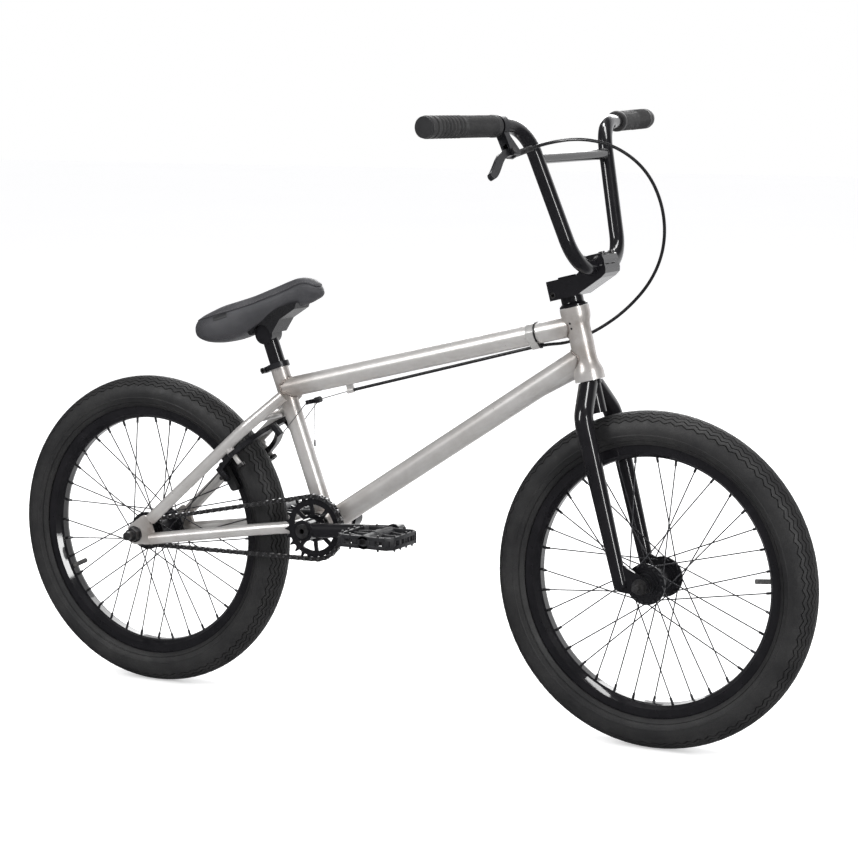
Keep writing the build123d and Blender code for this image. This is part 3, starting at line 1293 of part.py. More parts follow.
with BuildPart() as crank_arms:
    for side in (-1, 1):
        boss_middle = bracket_point + left * side * (ARM_BOSS_INSIDE + ARM_BOSS_OUTSIDE) / 2
        end_middle = pedal_point(side, (ARM_END_INSIDE + ARM_END_OUTSIDE) / 2)
        with BuildSketch(Plane(origin=bracket_point + left * side * ARM_BOSS_INSIDE,
                               x_dir=up, z_dir=left * side)):
            Circle(ARM_BOSS_RADIUS)
        extrude(amount=ARM_BOSS_OUTSIDE - ARM_BOSS_INSIDE)
        with BuildSketch(Plane(origin=boss_middle, x_dir=up, z_dir=end_middle - boss_middle)):
            Ellipse(ARM_TUBE_RADIUS, ARM_TUBE_RADIUS - 2)
        with BuildSketch(Plane(origin=end_middle, x_dir=up, z_dir=end_middle - boss_middle)):
            Ellipse(ARM_TUBE_RADIUS - 2, ARM_TUBE_RADIUS - 4)
        loft()
        with BuildSketch(Plane(origin=pedal_point(side, ARM_END_INSIDE), x_dir=up, z_dir=left * side)):
            Circle(ARM_END_RADIUS)
        extrude(amount=ARM_END_OUTSIDE - ARM_END_INSIDE)
    with BuildSketch(side_plane(bracket_point, ARM_BOSS_OUTSIDE)):
        Circle(SPINDLE_RADIUS)
    extrude(amount=2 * ARM_BOSS_OUTSIDE, mode=Mode.SUBTRACT)
    add(pedal_spindles.part, mode=Mode.SUBTRACT)
    add(crank_bolts.part, mode=Mode.SUBTRACT)
crank_arms.part.label = "crank_arms"
export_step(crank_arms.part, "parts/crank_arms.step")



def build_pedal(name, side):
    """Platform pedal with windows and traction pins, turning on its spindle."""
    start = pedal_point(side, PEDAL_START)
    level = Plane(origin=start + left * side * PEDAL_WIDTH / 2, x_dir=(1, 0, 0), z_dir=up)
    with BuildPart() as pedal:
        with BuildSketch(level.offset(-PEDAL_THICKNESS / 2)):
            Rectangle(PEDAL_LENGTH, PEDAL_WIDTH)
            chamfer(vertices(), 9)
            for row in (-1, 1):
                with Locations((row * PEDAL_LENGTH * 0.29, 0)):
                    Rectangle(PEDAL_LENGTH * 0.24, PEDAL_WIDTH * 0.72, mode=Mode.SUBTRACT)
        extrude(amount=PEDAL_THICKNESS)
        for face in (-1, 1):
            with BuildSketch(Plane(origin=level.origin, x_dir=(1, 0, 0), z_dir=up * face).offset(
                    PEDAL_THICKNESS / 2)):
                for row in (-1, 1):
                    with Locations((row * PEDAL_LENGTH * 0.455, 0)):
                        with GridLocations(1, PEDAL_WIDTH * 0.27, 1, 3):
                            Circle(1.6)
            extrude(amount=PEDAL_PIN_HEIGHT)
        with BuildSketch(Plane(origin=start, x_dir=up, z_dir=left * side)):
            Circle(PEDAL_SPINDLE_RADIUS + RUNNING_CLEARANCE)
        extrude(amount=PEDAL_BORE, mode=Mode.SUBTRACT)
    pedal.part.label = name
    export_step(pedal.part, f"parts/{name}.step")


build_pedal("right_pedal", -1)
build_pedal("left_pedal", 1)

# ---------------------------------------------------------------- seat
CLAMP_HEIGHT = 9.0
CLAMP_THICKNESS = 3.4
CLAMP_EAR = 16.0
CLAMP_BOLT_BEHIND = SEAT_TUBE_RADIUS + 10.0
POST_HEAD_HEIGHT = 49.0
POST_HEAD_RADIUS = 16.0
POST_HEAD_WIDTH = 30.0
SEAT_SHELL_WIDTH = 44.0
clamp_foot = SEAT_TUBE_LENGTH - CLAMP_HEIGHT
post_head = on_seat_tube(SEAT_TUBE_LENGTH + POST_HEAD_HEIGHT)

with BuildPart() as seat_clamp:
    with BuildSketch(seat_level(clamp_foot)):
        Circle(SEAT_TUBE_RADIUS + CLAMP_THICKNESS)
        with Locations((-SEAT_TUBE_RADIUS - CLAMP_EAR / 2, 0)):
            Rectangle(CLAMP_EAR, 16)
        Circle(SEAT_TUBE_RADIUS, mode=Mode.SUBTRACT)
        with Locations((-SEAT_TUBE_RADIUS - CLAMP_EAR / 2, 0)):
            Rectangle(CLAMP_EAR + 8, 2.4, mode=Mode.SUBTRACT)
    extrude(amount=CLAMP_HEIGHT)
    clamp_bolt_spot = on_seat_tube(clamp_foot + CLAMP_HEIGHT / 2, -CLAMP_BOLT_BEHIND, -20)
    with BuildSketch(Plane(origin=clamp_bolt_spot, x_dir=up, z_dir=left)):
        Circle(2.5)
    extrude(amount=40, mode=Mode.SUBTRACT)
seat_clamp.part.label = "seat_clamp"
export_step(seat_clamp.part, "parts/seat_clamp.step")

with BuildPart() as frame_bolts:
    with BuildSketch(Plane(origin=clamp_bolt_spot + left * 12, x_dir=up, z_dir=left)):
        Circle(2.5)
    extrude(amount=20)
    with BuildSketch(Plane(origin=clamp_bolt_spot + left * 8, x_dir=up, z_dir=left)):
        Circle(4.5)
        RegularPolygon(2.4, 6, mode=Mode.SUBTRACT)
    extrude(amount=4)
    # bolts that hold the brake arms on their studs
    for side in (-1, 1):
        with BuildSketch(brake_plane(STUD_LENGTH)):
            with Locations((side * stud_side, 0)):
                Circle(STUD_RADIUS + 3.5)
                RegularPolygon(2.9, 6, mode=Mode.SUBTRACT)
        extrude(amount=5)
frame_bolts.part.label = "frame_bolts"
export_step(frame_bolts.part, "parts/frame_bolts.step")

with BuildPart() as seat_post:
    with BuildSketch(seat_level(SEAT_TUBE_LENGTH - SEAT_POST_INSERTION)):
        Circle(SEAT_POST_RADIUS)
    extrude(amount=SEAT_POST_INSERTION + POST_HEAD_HEIGHT)
    with BuildSketch(Plane(origin=post_head - left * POST_HEAD_WIDTH / 2, x_dir=seat_ahead, z_dir=left)):
        Circle(POST_HEAD_RADIUS)
    extrude(amount=POST_HEAD_WIDTH)
    with BuildSketch(seat_level(SEAT_TUBE_LENGTH - SEAT_POST_INSERTION)):
        Circle(SEAT_POST_RADIUS - 2.2)
    extrude(amount=SEAT_POST_INSERTION + POST_HEAD_HEIGHT - POST_HEAD_RADIUS - 4, mode=Mode.SUBTRACT)
    # slot that the seat bolt passes through
    with BuildSketch(seat_level(SEAT_TUBE_LENGTH + POST_HEAD_HEIGHT)):
        SlotOverall(20, 10)
    extrude(amount=POST_HEAD_RADIUS + 2, mode=Mode.SUBTRACT)
seat_post.part.label = "seat_post"
export_step(seat_post.part, "parts/seat_post.step")

seat_tail = Vector(post_head.X - 122, 0, post_head.Z + 25.4)
SEAT_NOSE_RISE = 63.0
with BuildPart() as seat_cover:
    with BuildSketch(side_plane(Vector(0, 0, 0), SEAT_HALF_WIDTH)):
        with BuildLine():
            Spline(
                (seat_tail.X - 3, seat_tail.Z - 18),
                (seat_tail.X + 10, seat_tail.Z),
                (seat_tail.X + SEAT_LENGTH * 0.45, seat_tail.Z + 30),
                (seat_tail.X + SEAT_LENGTH * 0.82, seat_tail.Z + SEAT_NOSE_RISE + 4),
                (seat_tail.X + SEAT_LENGTH * 0.96, seat_tail.Z + SEAT_NOSE_RISE + 1),
                (seat_tail.X + SEAT_LENGTH - 3, seat_tail.Z + SEAT_NOSE_RISE - 22),
                (seat_tail.X + SEAT_LENGTH * 0.835, seat_tail.Z + 29),
                (seat_tail.X + SEAT_LENGTH * 0.47, seat_tail.Z - 12),
                (seat_tail.X + SEAT_LENGTH * 0.24, seat_tail.Z - 42),
                (seat_tail.X + 3, seat_tail.Z - 38),
                periodic=True,
            )
        make_face()
    extrude(amount=2 * SEAT_HALF_WIDTH)
    with BuildSketch(Plane(origin=(seat_tail.X, 0, seat_tail.Z - 80))):
        with BuildLine():
            Spline(
                (-4, 0),
                (12, -SEAT_HALF_WIDTH * 0.78),
                (50, -SEAT_HALF_WIDTH),
                (SEAT_LENGTH * 0.55, -SEAT_NOSE_HALF_WIDTH * 1.5),
                (SEAT_LENGTH * 0.9, -SEAT_NOSE_HALF_WIDTH),
                (SEAT_LENGTH + 1, 0),
                (SEAT_LENGTH * 0.9, SEAT_NOSE_HALF_WIDTH),
                (SEAT_LENGTH * 0.55, SEAT_NOSE_HALF_WIDTH * 1.5),
                (50, SEAT_HALF_WIDTH),
                (12, SEAT_HALF_WIDTH * 0.78),
                periodic=True,
            )
        make_face()
    extrude(amount=220, mode=Mode.INTERSECT)
seat_cover.part.label = "seat_cover"
export_step(seat_cover.part, "parts/seat_cover.step")

with BuildPart() as seat_base:
    with BuildSketch(side_plane(Vector(0, 0, 0), SEAT_SHELL_WIDTH / 2)):
        with BuildLine():
            Polyline(
                (post_head.X - 22, post_head.Z - 2),
                (post_head.X - 34, post_head.Z + 12),
                (post_head.X - 40, post_head.Z + 34),
                (post_head.X + 70, post_head.Z + 68),
                (post_head.X + 62, post_head.Z + 44),
                (post_head.X + 34, post_head.Z + 26),
                (post_head.X + 20, post_head.Z + 4),
                close=True,
            )
        make_face()
    extrude(amount=SEAT_SHELL_WIDTH)
    add(seat_cover.part, mode=Mode.SUBTRACT)
    # hollow that seats on the post's head, open below for the post
    with BuildSketch(side_plane(post_head, SEAT_SHELL_WIDTH / 2)):
        Circle(POST_HEAD_RADIUS + RUNNING_CLEARANCE)
        with Locations(Location((0, 0), -20)):
            with Locations((0, -12)):
                Rectangle(2 * (POST_HEAD_RADIUS + RUNNING_CLEARANCE), 24)
    extrude(amount=SEAT_SHELL_WIDTH, mode=Mode.SUBTRACT)
    with BuildSketch(seat_level(SEAT_TUBE_LENGTH + POST_HEAD_HEIGHT)):
        Circle(4)
    extrude(amount=60, mode=Mode.SUBTRACT)
seat_base.part.label = "seat_base"
export_step(seat_base.part, "parts/seat_base.step")

with BuildPart() as seat_bolt:
    with BuildSketch(seat_level(SEAT_TUBE_LENGTH + POST_HEAD_HEIGHT + 6)):
        Circle(4)
    extrude(amount=24)
    add(seat_cover.part, mode=Mode.SUBTRACT)
seat_bolt.part.label = "seat_bolt"
export_step(seat_bolt.part, "parts/seat_bolt.step")

# ---------------------------------------------------------------- rear brake
pad_side = RIM_HALF + PAD_GAP
TIP_SIDE = 22.0
TIP_ABOVE = 77.0
PAD_THICKNESS = 9.0
PAD_LENGTH = 52.0


def build_brake_arm(name, side, layer):
    """One arm of the brake: pad post below its stud, cable end across the tyre above it."""
    with BuildPart() as arm:
        with BuildSketch(brake_plane(layer)):
            with BuildLine():
                Spline(
                    (side * stud_side, 0),
                    (side * stud_side * 0.86, 26),
                    (side * stud_side * 0.3, 56),
                    (-side * TIP_SIDE, TIP_ABOVE),
                )
            trace(line_width=2 * ARM_HALF_WIDTH - 3)
            with BuildLine():
                Line((side * stud_side, 0), (side * (pad_side + PAD_THICKNESS + 6), -PAD_BELOW))
            trace(line_width=2 * ARM_HALF_WIDTH - 2)
            with Locations((side * stud_side, 0)):
                Circle(ARM_HALF_WIDTH + 1)
            with Locations((-side * TIP_SIDE, TIP_ABOVE)):
                Circle(ARM_HALF_WIDTH - 1)
        extrude(amount=ARM_THICKNESS)
        # boss that reaches down to the pad post
        with BuildSketch(brake_plane(layer)):
            with Locations((side * (pad_side + PAD_THICKNESS + 6), -PAD_BELOW)):
                Circle(6)
        extrude(amount=PAD_LAYER + 6 - layer)
        # cable end stands forward of the arm
        with BuildSketch(brake_plane(layer)):
            with Locations((-side * TIP_SIDE, TIP_ABOVE)):
                Circle(ARM_HALF_WIDTH - 1)
        extrude(amount=ARM_LAYER + 30 - layer)
        with BuildSketch(brake_plane(0)):
            with Locations((side * stud_side, 0)):
                Circle(STUD_RADIUS + RUNNING_CLEARANCE)
        extrude(amount=STUD_LENGTH, mode=Mode.SUBTRACT)
        post = brake_centre + brake_ahead * PAD_LAYER + brake_along * -PAD_BELOW + left * side * pad_side
        with BuildSketch(Plane(origin=post + left * side * PAD_THICKNESS, x_dir=up, z_dir=left * side)):
            Circle(3)
        extrude(amount=20, mode=Mode.SUBTRACT)
    arm.part.label = name + "_brake_arm"
    export_step(arm.part, f"parts/{name}_brake_arm.step")

    pad_heading = Vector(-(post - rear_axle_point).Z, 0, (post - rear_axle_point).X).normalized()
    with BuildPart() as pad:
        with BuildSketch(Plane(origin=post, x_dir=pad_heading, z_dir=left * side)):
            SlotOverall(PAD_LENGTH, 13)
        extrude(amount=PAD_THICKNESS)
        with BuildSketch(Plane(origin=post + left * side * PAD_THICKNESS, x_dir=up, z_dir=left * side)):
            Circle(3)
        extrude(amount=20)
    pad.part.label = name + "_brake_pad"
    export_step(pad.part, f"parts/{name}_brake_pad.step")


build_brake_arm("right", -1, ARM_LAYER)
build_brake_arm("left", 1, ARM_LAYER + ARM_LAYER_STEP)

YOKE_SPREAD = 19.0
YOKE_PLATE = 5.0
WIRE_GAP = 2.0
TAIL_RADIUS = 0.6
TAIL_LENGTH = 59.0
CRIMP_RADIUS = 1.6
CRIMP_LENGTH = 10.0
tail_top = yoke_point + Vector(-1.4, 0, -4.5)
with BuildPart() as cable_yoke:
    with BuildSketch(Plane(origin=yoke_point, x_dir=left, z_dir=wire_heading)):
        Circle(5)
        Circle(WIRE_RADIUS + 0.02, mode=Mode.SUBTRACT)
    extrude(amount=-10)
    with BuildSketch(Plane(origin=yoke_point, x_dir=left, z_dir=wire_heading)):
        Rectangle(2 * YOKE_SPREAD + 6, 7)
        Circle(WIRE_RADIUS + 0.02, mode=Mode.SUBTRACT)
    extrude(amount=YOKE_PLATE)
cable_yoke.part.label = "cable_yoke"
export_step(cable_yoke.part, "parts/cable_yoke.step")

arm_tips = []
for side in (-1, 1):
    tip = brake_centre + brake_ahead * (ARM_LAYER + 30) + brake_along * TIP_ABOVE + left * side * TIP_SIDE
    arm_tips.append(tip)
with BuildPart() as straddle_wires:
    for side, tip in zip((-1, 1), arm_tips):
        corner = yoke_point + wire_heading * YOKE_PLATE + left * side * YOKE_SPREAD
        heading = (tip - corner).normalized()
        with BuildSketch(Plane(origin=corner + heading * WIRE_GAP, x_dir=up, z_dir=heading)):
            Circle(WIRE_RADIUS)
        extrude(amount=(tip - corner).length - WIRE_GAP - ARM_HALF_WIDTH)
    with BuildSketch(Plane(origin=cable_stop, x_dir=left, z_dir=wire_heading)):
        Circle(WIRE_RADIUS)
    extrude(amount=(yoke_point - cable_stop).length)
    # the wire's spare end hangs under the yoke and ends in a crimped cap
    with BuildSketch(Plane(origin=tail_top, x_dir=left, z_dir=-up)):
        Circle(TAIL_RADIUS)
    extrude(amount=TAIL_LENGTH)
    with BuildSketch(Plane(origin=tail_top - up * TAIL_LENGTH, x_dir=left, z_dir=-up)):
        Circle(CRIMP_RADIUS)
    extrude(amount=CRIMP_LENGTH)
straddle_wires.part.label = "straddle_wires"
export_step(straddle_wires.part, "parts/straddle_wires.step")

# ---------------------------------------------------------------- brake housing
housing_foot = cable_stop + housing_heading * STOP_LIP
with BuildPart() as brake_cable_rear:
    with BuildSketch(Plane(origin=housing_foot, x_dir=left, z_dir=housing_heading)):
        Circle(CABLE_RADIUS)
    extrude(amount=(cable_tie - housing_foot).length)
brake_cable_rear.part.label = "brake_cable_rear"
export_step(brake_cable_rear.part, "parts/brake_cable_rear.step")

cable_start = adjuster_start + adjuster_heading * ADJUSTER_LENGTH
housing_points = [
    cable_start,
    cable_start + adjuster_heading * 30,
    Vector(368, -96, 911),
    Vector(406, -54, 898),
    Vector(437, -16, 862),
    Vector(451, 11, 808),
    Vector(447, 27, 750),
    Vector(422, 37, 697),
    Vector(381, 37, 652),
    Vector(336, 32, 620),
    Vector(296, 15, 601),
    cable_tie + housing_heading * 20,
    cable_tie,
]
housing_radii = []
for index in range(1, len(housing_points) - 1):
    before = housing_points[index] - housing_points[index - 1]
    after = housing_points[index + 1] - housing_points[index]
    turn = before.get_angle(after)
    housing_radii.append(0.45 * min(before.length, after.length) / tan(radians(turn) / 2))
print("bend radii", [round(value) for value in housing_radii])
with BuildPart() as brake_cable_loop:
    with BuildLine() as housing_path:
        FilletPolyline(*housing_points, radius=housing_radii)
    with BuildSketch(Plane(origin=cable_start, x_dir=up, z_dir=adjuster_heading)):
        Circle(CABLE_RADIUS)
    sweep(path=housing_path.line)
brake_cable_loop.part.label = "brake_cable_loop"
export_step(brake_cable_loop.part, "parts/brake_cable_loop.step")
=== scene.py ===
"""Freestyle bicycle with 20 inch wheels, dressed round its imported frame.

Metres, +X forward, +Y to the rider's left, +Z up, origin on the ground midway between the axles.
"""
import json
import logging
import math
from dataclasses import dataclass
from enum import Enum
from typing import Optional, Sequence

import bmesh
import bpy
from mathutils import Matrix, Vector
from mathutils.bvhtree import BVHTree

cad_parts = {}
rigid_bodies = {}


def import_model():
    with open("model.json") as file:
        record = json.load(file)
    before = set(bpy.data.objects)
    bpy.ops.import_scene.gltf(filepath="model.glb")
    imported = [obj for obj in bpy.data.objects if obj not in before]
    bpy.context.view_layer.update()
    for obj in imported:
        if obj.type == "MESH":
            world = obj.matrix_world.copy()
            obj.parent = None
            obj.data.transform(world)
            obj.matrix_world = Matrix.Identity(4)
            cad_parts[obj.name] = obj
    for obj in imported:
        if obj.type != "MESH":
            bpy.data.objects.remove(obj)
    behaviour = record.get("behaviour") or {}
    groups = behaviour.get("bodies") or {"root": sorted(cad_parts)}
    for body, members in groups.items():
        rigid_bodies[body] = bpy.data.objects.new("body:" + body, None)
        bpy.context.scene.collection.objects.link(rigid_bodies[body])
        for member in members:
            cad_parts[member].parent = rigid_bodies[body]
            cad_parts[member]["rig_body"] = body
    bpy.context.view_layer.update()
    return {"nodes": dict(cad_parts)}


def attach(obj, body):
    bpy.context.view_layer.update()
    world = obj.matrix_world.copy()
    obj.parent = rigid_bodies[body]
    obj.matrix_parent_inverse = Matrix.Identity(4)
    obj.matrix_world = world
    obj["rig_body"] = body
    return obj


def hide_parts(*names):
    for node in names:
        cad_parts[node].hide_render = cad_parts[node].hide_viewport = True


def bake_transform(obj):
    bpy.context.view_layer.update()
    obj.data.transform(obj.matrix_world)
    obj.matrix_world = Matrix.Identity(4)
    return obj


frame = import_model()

LOG = logging.getLogger("bicycle")

UP = Vector((0, 0, 1))
LEFT = Vector((0, 1, 0))
REAR_AXLE = Vector((-0.449, 0, 0.255))
FRONT_AXLE = Vector((0.449, 0, 0.255))
BRACKET = Vector((-0.11608, 0, 0.292))
DRIVE_LINE = Vector((0.99388, 0, 0.11046))
DRIVE_UP = Vector((-0.11046, 0, 0.99388))
STEER_UP = Vector((-0.25038, 0, 0.96815))
STEER_AHEAD = Vector((0.96815, 0, 0.25038))
STEER_FOOT = Vector((0.41677, 0, 0.255))
SEAT_UP = Vector((-0.34366, 0, 0.93909))
TOP_TUBE_ENDS = (Vector((-0.19389, 0, 0.50461)), Vector((0.31948, 0, 0.63122)))
DOWN_TUBE_ENDS = (BRACKET, Vector((0.33139, 0, 0.58514)))
BAR_CLAMP = Vector((0.35303, 0, 0.71995))
BAR_LEAN = Vector((-0.26808, 0, 0.96340))
HEAD_TUBE_RADIUS = 0.0178
TOP_TUBE_RADIUS = 0.0159
DOWN_TUBE_RADIUS = 0.01745
SEAT_TUBE_RADIUS = 0.0143
SHELL_RADIUS = 0.023

Colour = tuple[float, float, float]


# ---------------------------------------------------------------- finishes
class Relief(Enum):
    """The small-scale relief of a surface."""

    SMOOTH = "smooth"
    ORANGE_PEEL = "orange peel"
    MOULDED = "moulded"
    LEATHER = "leather"
    BRUSHED = "brushed"


@dataclass(frozen=True)
class Finish:
    """One finish of the bicycle: its colours, gloss, mottling and relief."""

    name: str
    slot: str
    colour: Colour
    shade: Colour
    roughness: float
    spread: float = 0.06
    metallic: float = 0.0
    coat: float = 0.0
    coat_roughness: float = 0.06
    specular: float = 0.5
    relief: Relief = Relief.SMOOTH
    relief_scale: float = 900.0
    relief_depth: float = 0.0
    mottle_scale: float = 30.0
    dust: float = 0.0
    wear: float = 0.0
    worn: Colour = (0.3, 0.3, 0.3)


RAW_STEEL = Finish(
    "raw_steel", "raw_frame", (0.68, 0.665, 0.65), (0.585, 0.565, 0.545), 0.33, 0.08, 0.60,
    coat=0.35, coat_roughness=0.22, relief=Relief.BRUSHED, relief_scale=420.0, relief_depth=0.08,
    mottle_scale=34.0, wear=0.18, worn=(0.50, 0.46, 0.43),
)
WELD_STEEL = Finish(
    "weld_steel", "raw_frame", (0.42, 0.38, 0.35), (0.26, 0.22, 0.20), 0.42, 0.12, 0.85,
    relief=Relief.MOULDED, relief_scale=700.0, relief_depth=0.10, mottle_scale=160.0,
)
GLOSS_BLACK = Finish(
    "gloss_black", "gloss_black", (0.005, 0.005, 0.006), (0.009, 0.0085, 0.010), 0.30, 0.05,
    specular=0.15, coat=1.0, coat_roughness=0.04, relief=Relief.ORANGE_PEEL, relief_scale=260.0,
    relief_depth=0.03, mottle_scale=24.0, wear=0.05, worn=(0.05, 0.05, 0.05),
)
SATIN_BLACK = Finish(
    "satin_black_alloy", "satin_black_alloy", (0.012, 0.012, 0.014), (0.022, 0.022, 0.025), 0.32,
    0.10, 0.55, coat=0.4, coat_roughness=0.22, relief=Relief.ORANGE_PEEL, relief_scale=500.0,
    relief_depth=0.03, mottle_scale=60.0, wear=0.12, worn=(0.16, 0.16, 0.17),
)
DARK_STEEL = Finish(
    "dark_steel", "dark_steel", (0.15, 0.15, 0.155), (0.075, 0.072, 0.070), 0.33, 0.12, 0.92,
    relief=Relief.BRUSHED, relief_scale=700.0, relief_depth=0.05, mottle_scale=120.0,
    wear=0.3, worn=(0.34, 0.33, 0.32),
)
SPOKE_STEEL = Finish(
    "spoke_steel", "spoke_steel", (0.085, 0.085, 0.09), (0.05, 0.05, 0.055), 0.34, 0.08, 0.8,
    relief=Relief.SMOOTH, mottle_scale=90.0, wear=0.1, worn=(0.3, 0.3, 0.3),
)
WIRE_STEEL = Finish(
    "wire_steel", "wire_steel", (0.52, 0.52, 0.53), (0.34, 0.34, 0.35), 0.30, 0.08, 0.95,
    relief=Relief.BRUSHED, relief_scale=2600.0, relief_depth=0.2, mottle_scale=200.0,
)
TYRE_RUBBER = Finish(
    "tyre_rubber", "tyre_rubber", (0.0095, 0.0095, 0.0105), (0.0150, 0.0148, 0.0152), 0.58, 0.12,
    specular=0.42, relief=Relief.MOULDED, relief_scale=900.0, relief_depth=0.12,
    mottle_scale=16.0, dust=0.05, wear=0.2, worn=(0.030, 0.029, 0.029),
)
TUBE_RUBBER = Finish(
    "tube_rubber", "tube_rubber", (0.035, 0.035, 0.036), (0.050, 0.049, 0.048), 0.6, 0.1,
    relief=Relief.MOULDED, relief_scale=900.0, relief_depth=0.1, dust=0.3,
)
GRIP_RUBBER = Finish(
    "grip_rubber", "grip_rubber", (0.016, 0.016, 0.017), (0.026, 0.0255, 0.026), 0.5, 0.12,
    specular=0.45, relief=Relief.MOULDED, relief_scale=1400.0, relief_depth=0.15,
    mottle_scale=50.0, dust=0.05, wear=0.25, worn=(0.05, 0.05, 0.05),
)
CAP_PLASTIC = Finish(
    "cap_plastic", "cap_plastic", (0.009, 0.009, 0.010), (0.014, 0.014, 0.015), 0.42, 0.1,
    relief=Relief.MOULDED, relief_scale=1500.0, relief_depth=0.12, mottle_scale=70.0,
)
PEDAL_PLASTIC = Finish(
    "pedal_plastic", "pedal_plastic", (0.010, 0.010, 0.012), (0.018, 0.018, 0.020), 0.45, 0.12,
    relief=Relief.MOULDED, relief_scale=1300.0, relief_depth=0.2, mottle_scale=45.0,
    wear=0.3, worn=(0.04, 0.04, 0.043),
)
SEAT_SHELL = Finish(
    "seat_shell", "cap_plastic", (0.007, 0.007, 0.008), (0.011, 0.011, 0.012), 0.30, 0.08,
    relief=Relief.MOULDED, relief_scale=1500.0, relief_depth=0.08, mottle_scale=50.0,
)
LEATHERETTE = Finish(
    "leatherette", "seat_leatherette", (0.050, 0.050, 0.054), (0.036, 0.036, 0.040), 0.42, 0.10,
    specular=0.42, relief=Relief.LEATHER, relief_scale=900.0, relief_depth=0.35,
    mottle_scale=26.0, wear=0.25, worn=(0.075, 0.075, 0.079),
)
THREAD = Finish(
    "stitch_thread", "seat_leatherette", (0.13, 0.13, 0.136), (0.08, 0.08, 0.086), 0.6, 0.1,
    relief=Relief.BRUSHED, relief_scale=3500.0, relief_depth=0.3, mottle_scale=300.0,
)
HOUSING = Finish(
    "housing_plastic", "housing_plastic", (0.008, 0.008, 0.009), (0.013, 0.013, 0.014), 0.28,
    0.06, coat=0.3, coat_roughness=0.1, relief=Relief.ORANGE_PEEL, relief_scale=700.0,
    relief_depth=0.03, mottle_scale=80.0,
)
CLEAR_BAND = Finish(
    "band_plastic", "cap_plastic", (0.30, 0.295, 0.285), (0.24, 0.235, 0.23), 0.3, 0.08,
    coat=0.6, coat_roughness=0.08, relief=Relief.ORANGE_PEEL, relief_scale=500.0,
    relief_depth=0.05, mottle_scale=90.0,
)
CHAIN_BRIGHT = Finish(
    "chain_pin_steel", "dark_steel", (0.42, 0.42, 0.43), (0.24, 0.235, 0.23), 0.28, 0.1, 0.95,
    relief=Relief.BRUSHED, relief_scale=1500.0, relief_depth=0.06, mottle_scale=220.0,
)

NODE_FINISHES: dict[str, Finish] = {
    **dict.fromkeys(
        ("head_tube", "top_tube", "down_tube", "seat_tube", "bottom_bracket_shell",
         "chain_stays", "seat_stays", "dropouts", "frame_fittings"), RAW_STEEL),
    **dict.fromkeys(
        ("fork_steerer", "fork_legs", "handlebar", "stem_body", "stem_cap", "headset_cap",
         "crank_arms", "sprocket", "seat_post", "front_rim", "rear_rim"), GLOSS_BLACK),
    **dict.fromkeys(
        ("seat_clamp", "front_hub_shell", "rear_hub_shell", "lever_bracket",
         "brake_lever_blade", "right_brake_arm", "left_brake_arm", "cable_yoke",
         "crank_spindle"), SATIN_BLACK),
    **dict.fromkeys(
        ("headset_bearings", "bottom_bracket_bearings", "rear_axle", "front_axle",
         "frame_bolts", "stem_bolts", "lever_hardware", "driver_cog", "crank_bolts",
         "pedal_spindles", "front_hub_bearings", "rear_hub_bearings", "seat_bolt",
         "chain"), DARK_STEEL),
    **dict.fromkeys(("front_spokes", "rear_spokes"), SPOKE_STEEL),
    "straddle_wires": WIRE_STEEL,
    **dict.fromkeys(("front_tyre", "rear_tyre", "right_brake_pad", "left_brake_pad"), TYRE_RUBBER),
    **dict.fromkeys(("front_inner_tube", "rear_inner_tube"), TUBE_RUBBER),
    "grips": GRIP_RUBBER,
    "bar_end_plugs": CAP_PLASTIC,
    **dict.fromkeys(("right_pedal", "left_pedal"), PEDAL_PLASTIC),
    "seat_base": SEAT_SHELL,
    "seat_cover": LEATHERETTE,
    **dict.fromkeys(("brake_cable_loop", "brake_cable_rear"), HOUSING),
}


class Graph:
    """A shader tree that takes nodes and links in few words."""

    def __init__(self, tree: bpy.types.NodeTree) -> None:
        """Wraps a node tree."""
        self.tree = tree

    def node(self, kind: str, inputs: Optional[dict] = None, **settings) -> bpy.types.Node:
        """Adds a node.

        Args:
            kind: the node's type name without its "ShaderNode" prefix.
            inputs: value or source socket of each named or numbered input.
            settings: the node's own properties.

        Returns:
            The new node.
        """
        made = self.tree.nodes.new("ShaderNode" + kind)
        for key, value in settings.items():
            setattr(made, key, value)
        for key, value in (inputs or {}).items():
            if isinstance(value, bpy.types.NodeSocket):
                self.tree.links.new(value, made.inputs[key])
            else:
                made.inputs[key].default_value = value
        return made

    def math(self, operation: str, *values, clamp: bool = False) -> bpy.types.NodeSocket:
        """Adds a Math node and returns its output."""
        made = self.node("Math", dict(enumerate(values)), operation=operation, use_clamp=clamp)
        return made.outputs[0]

    def blend(self, share, low, high) -> bpy.types.NodeSocket:
        """Mixes two colours and returns the result.

        Args:
            share: how much of the second colour shows.
            low: the first colour.
            high: the second colour.

        Returns:
            The mixed colour's socket.
        """
        made = self.node("Mix", {0: share}, data_type="RGBA")
        for socket, value in ((made.inputs[6], low), (made.inputs[7], high)):
            if isinstance(value, bpy.types.NodeSocket):
                self.tree.links.new(value, socket)
            else:
                socket.default_value = (*value, 1.0) if len(value) == 3 else value
        return made.outputs[2]


def new_group(name: str, inputs: dict[str, str], outputs: dict[str, str]):
    """Starts a shader node group.

    Args:
        name: the group's name.
        inputs: type of each input socket.
        outputs: type of each output socket.

    Returns:
        The group, its graph, its input node and its output node.
    """
    tree = bpy.data.node_groups.new(name, "ShaderNodeTree")
    for label, kind in inputs.items():
        tree.interface.new_socket(label, in_out="INPUT", socket_type="NodeSocket" + kind)
    for label, kind in outputs.items():
        tree.interface.new_socket(label, in_out="OUTPUT", socket_type="NodeSocket" + kind)
    return tree, Graph(tree), tree.nodes.new("NodeGroupInput"), tree.nodes.new("NodeGroupOutput")


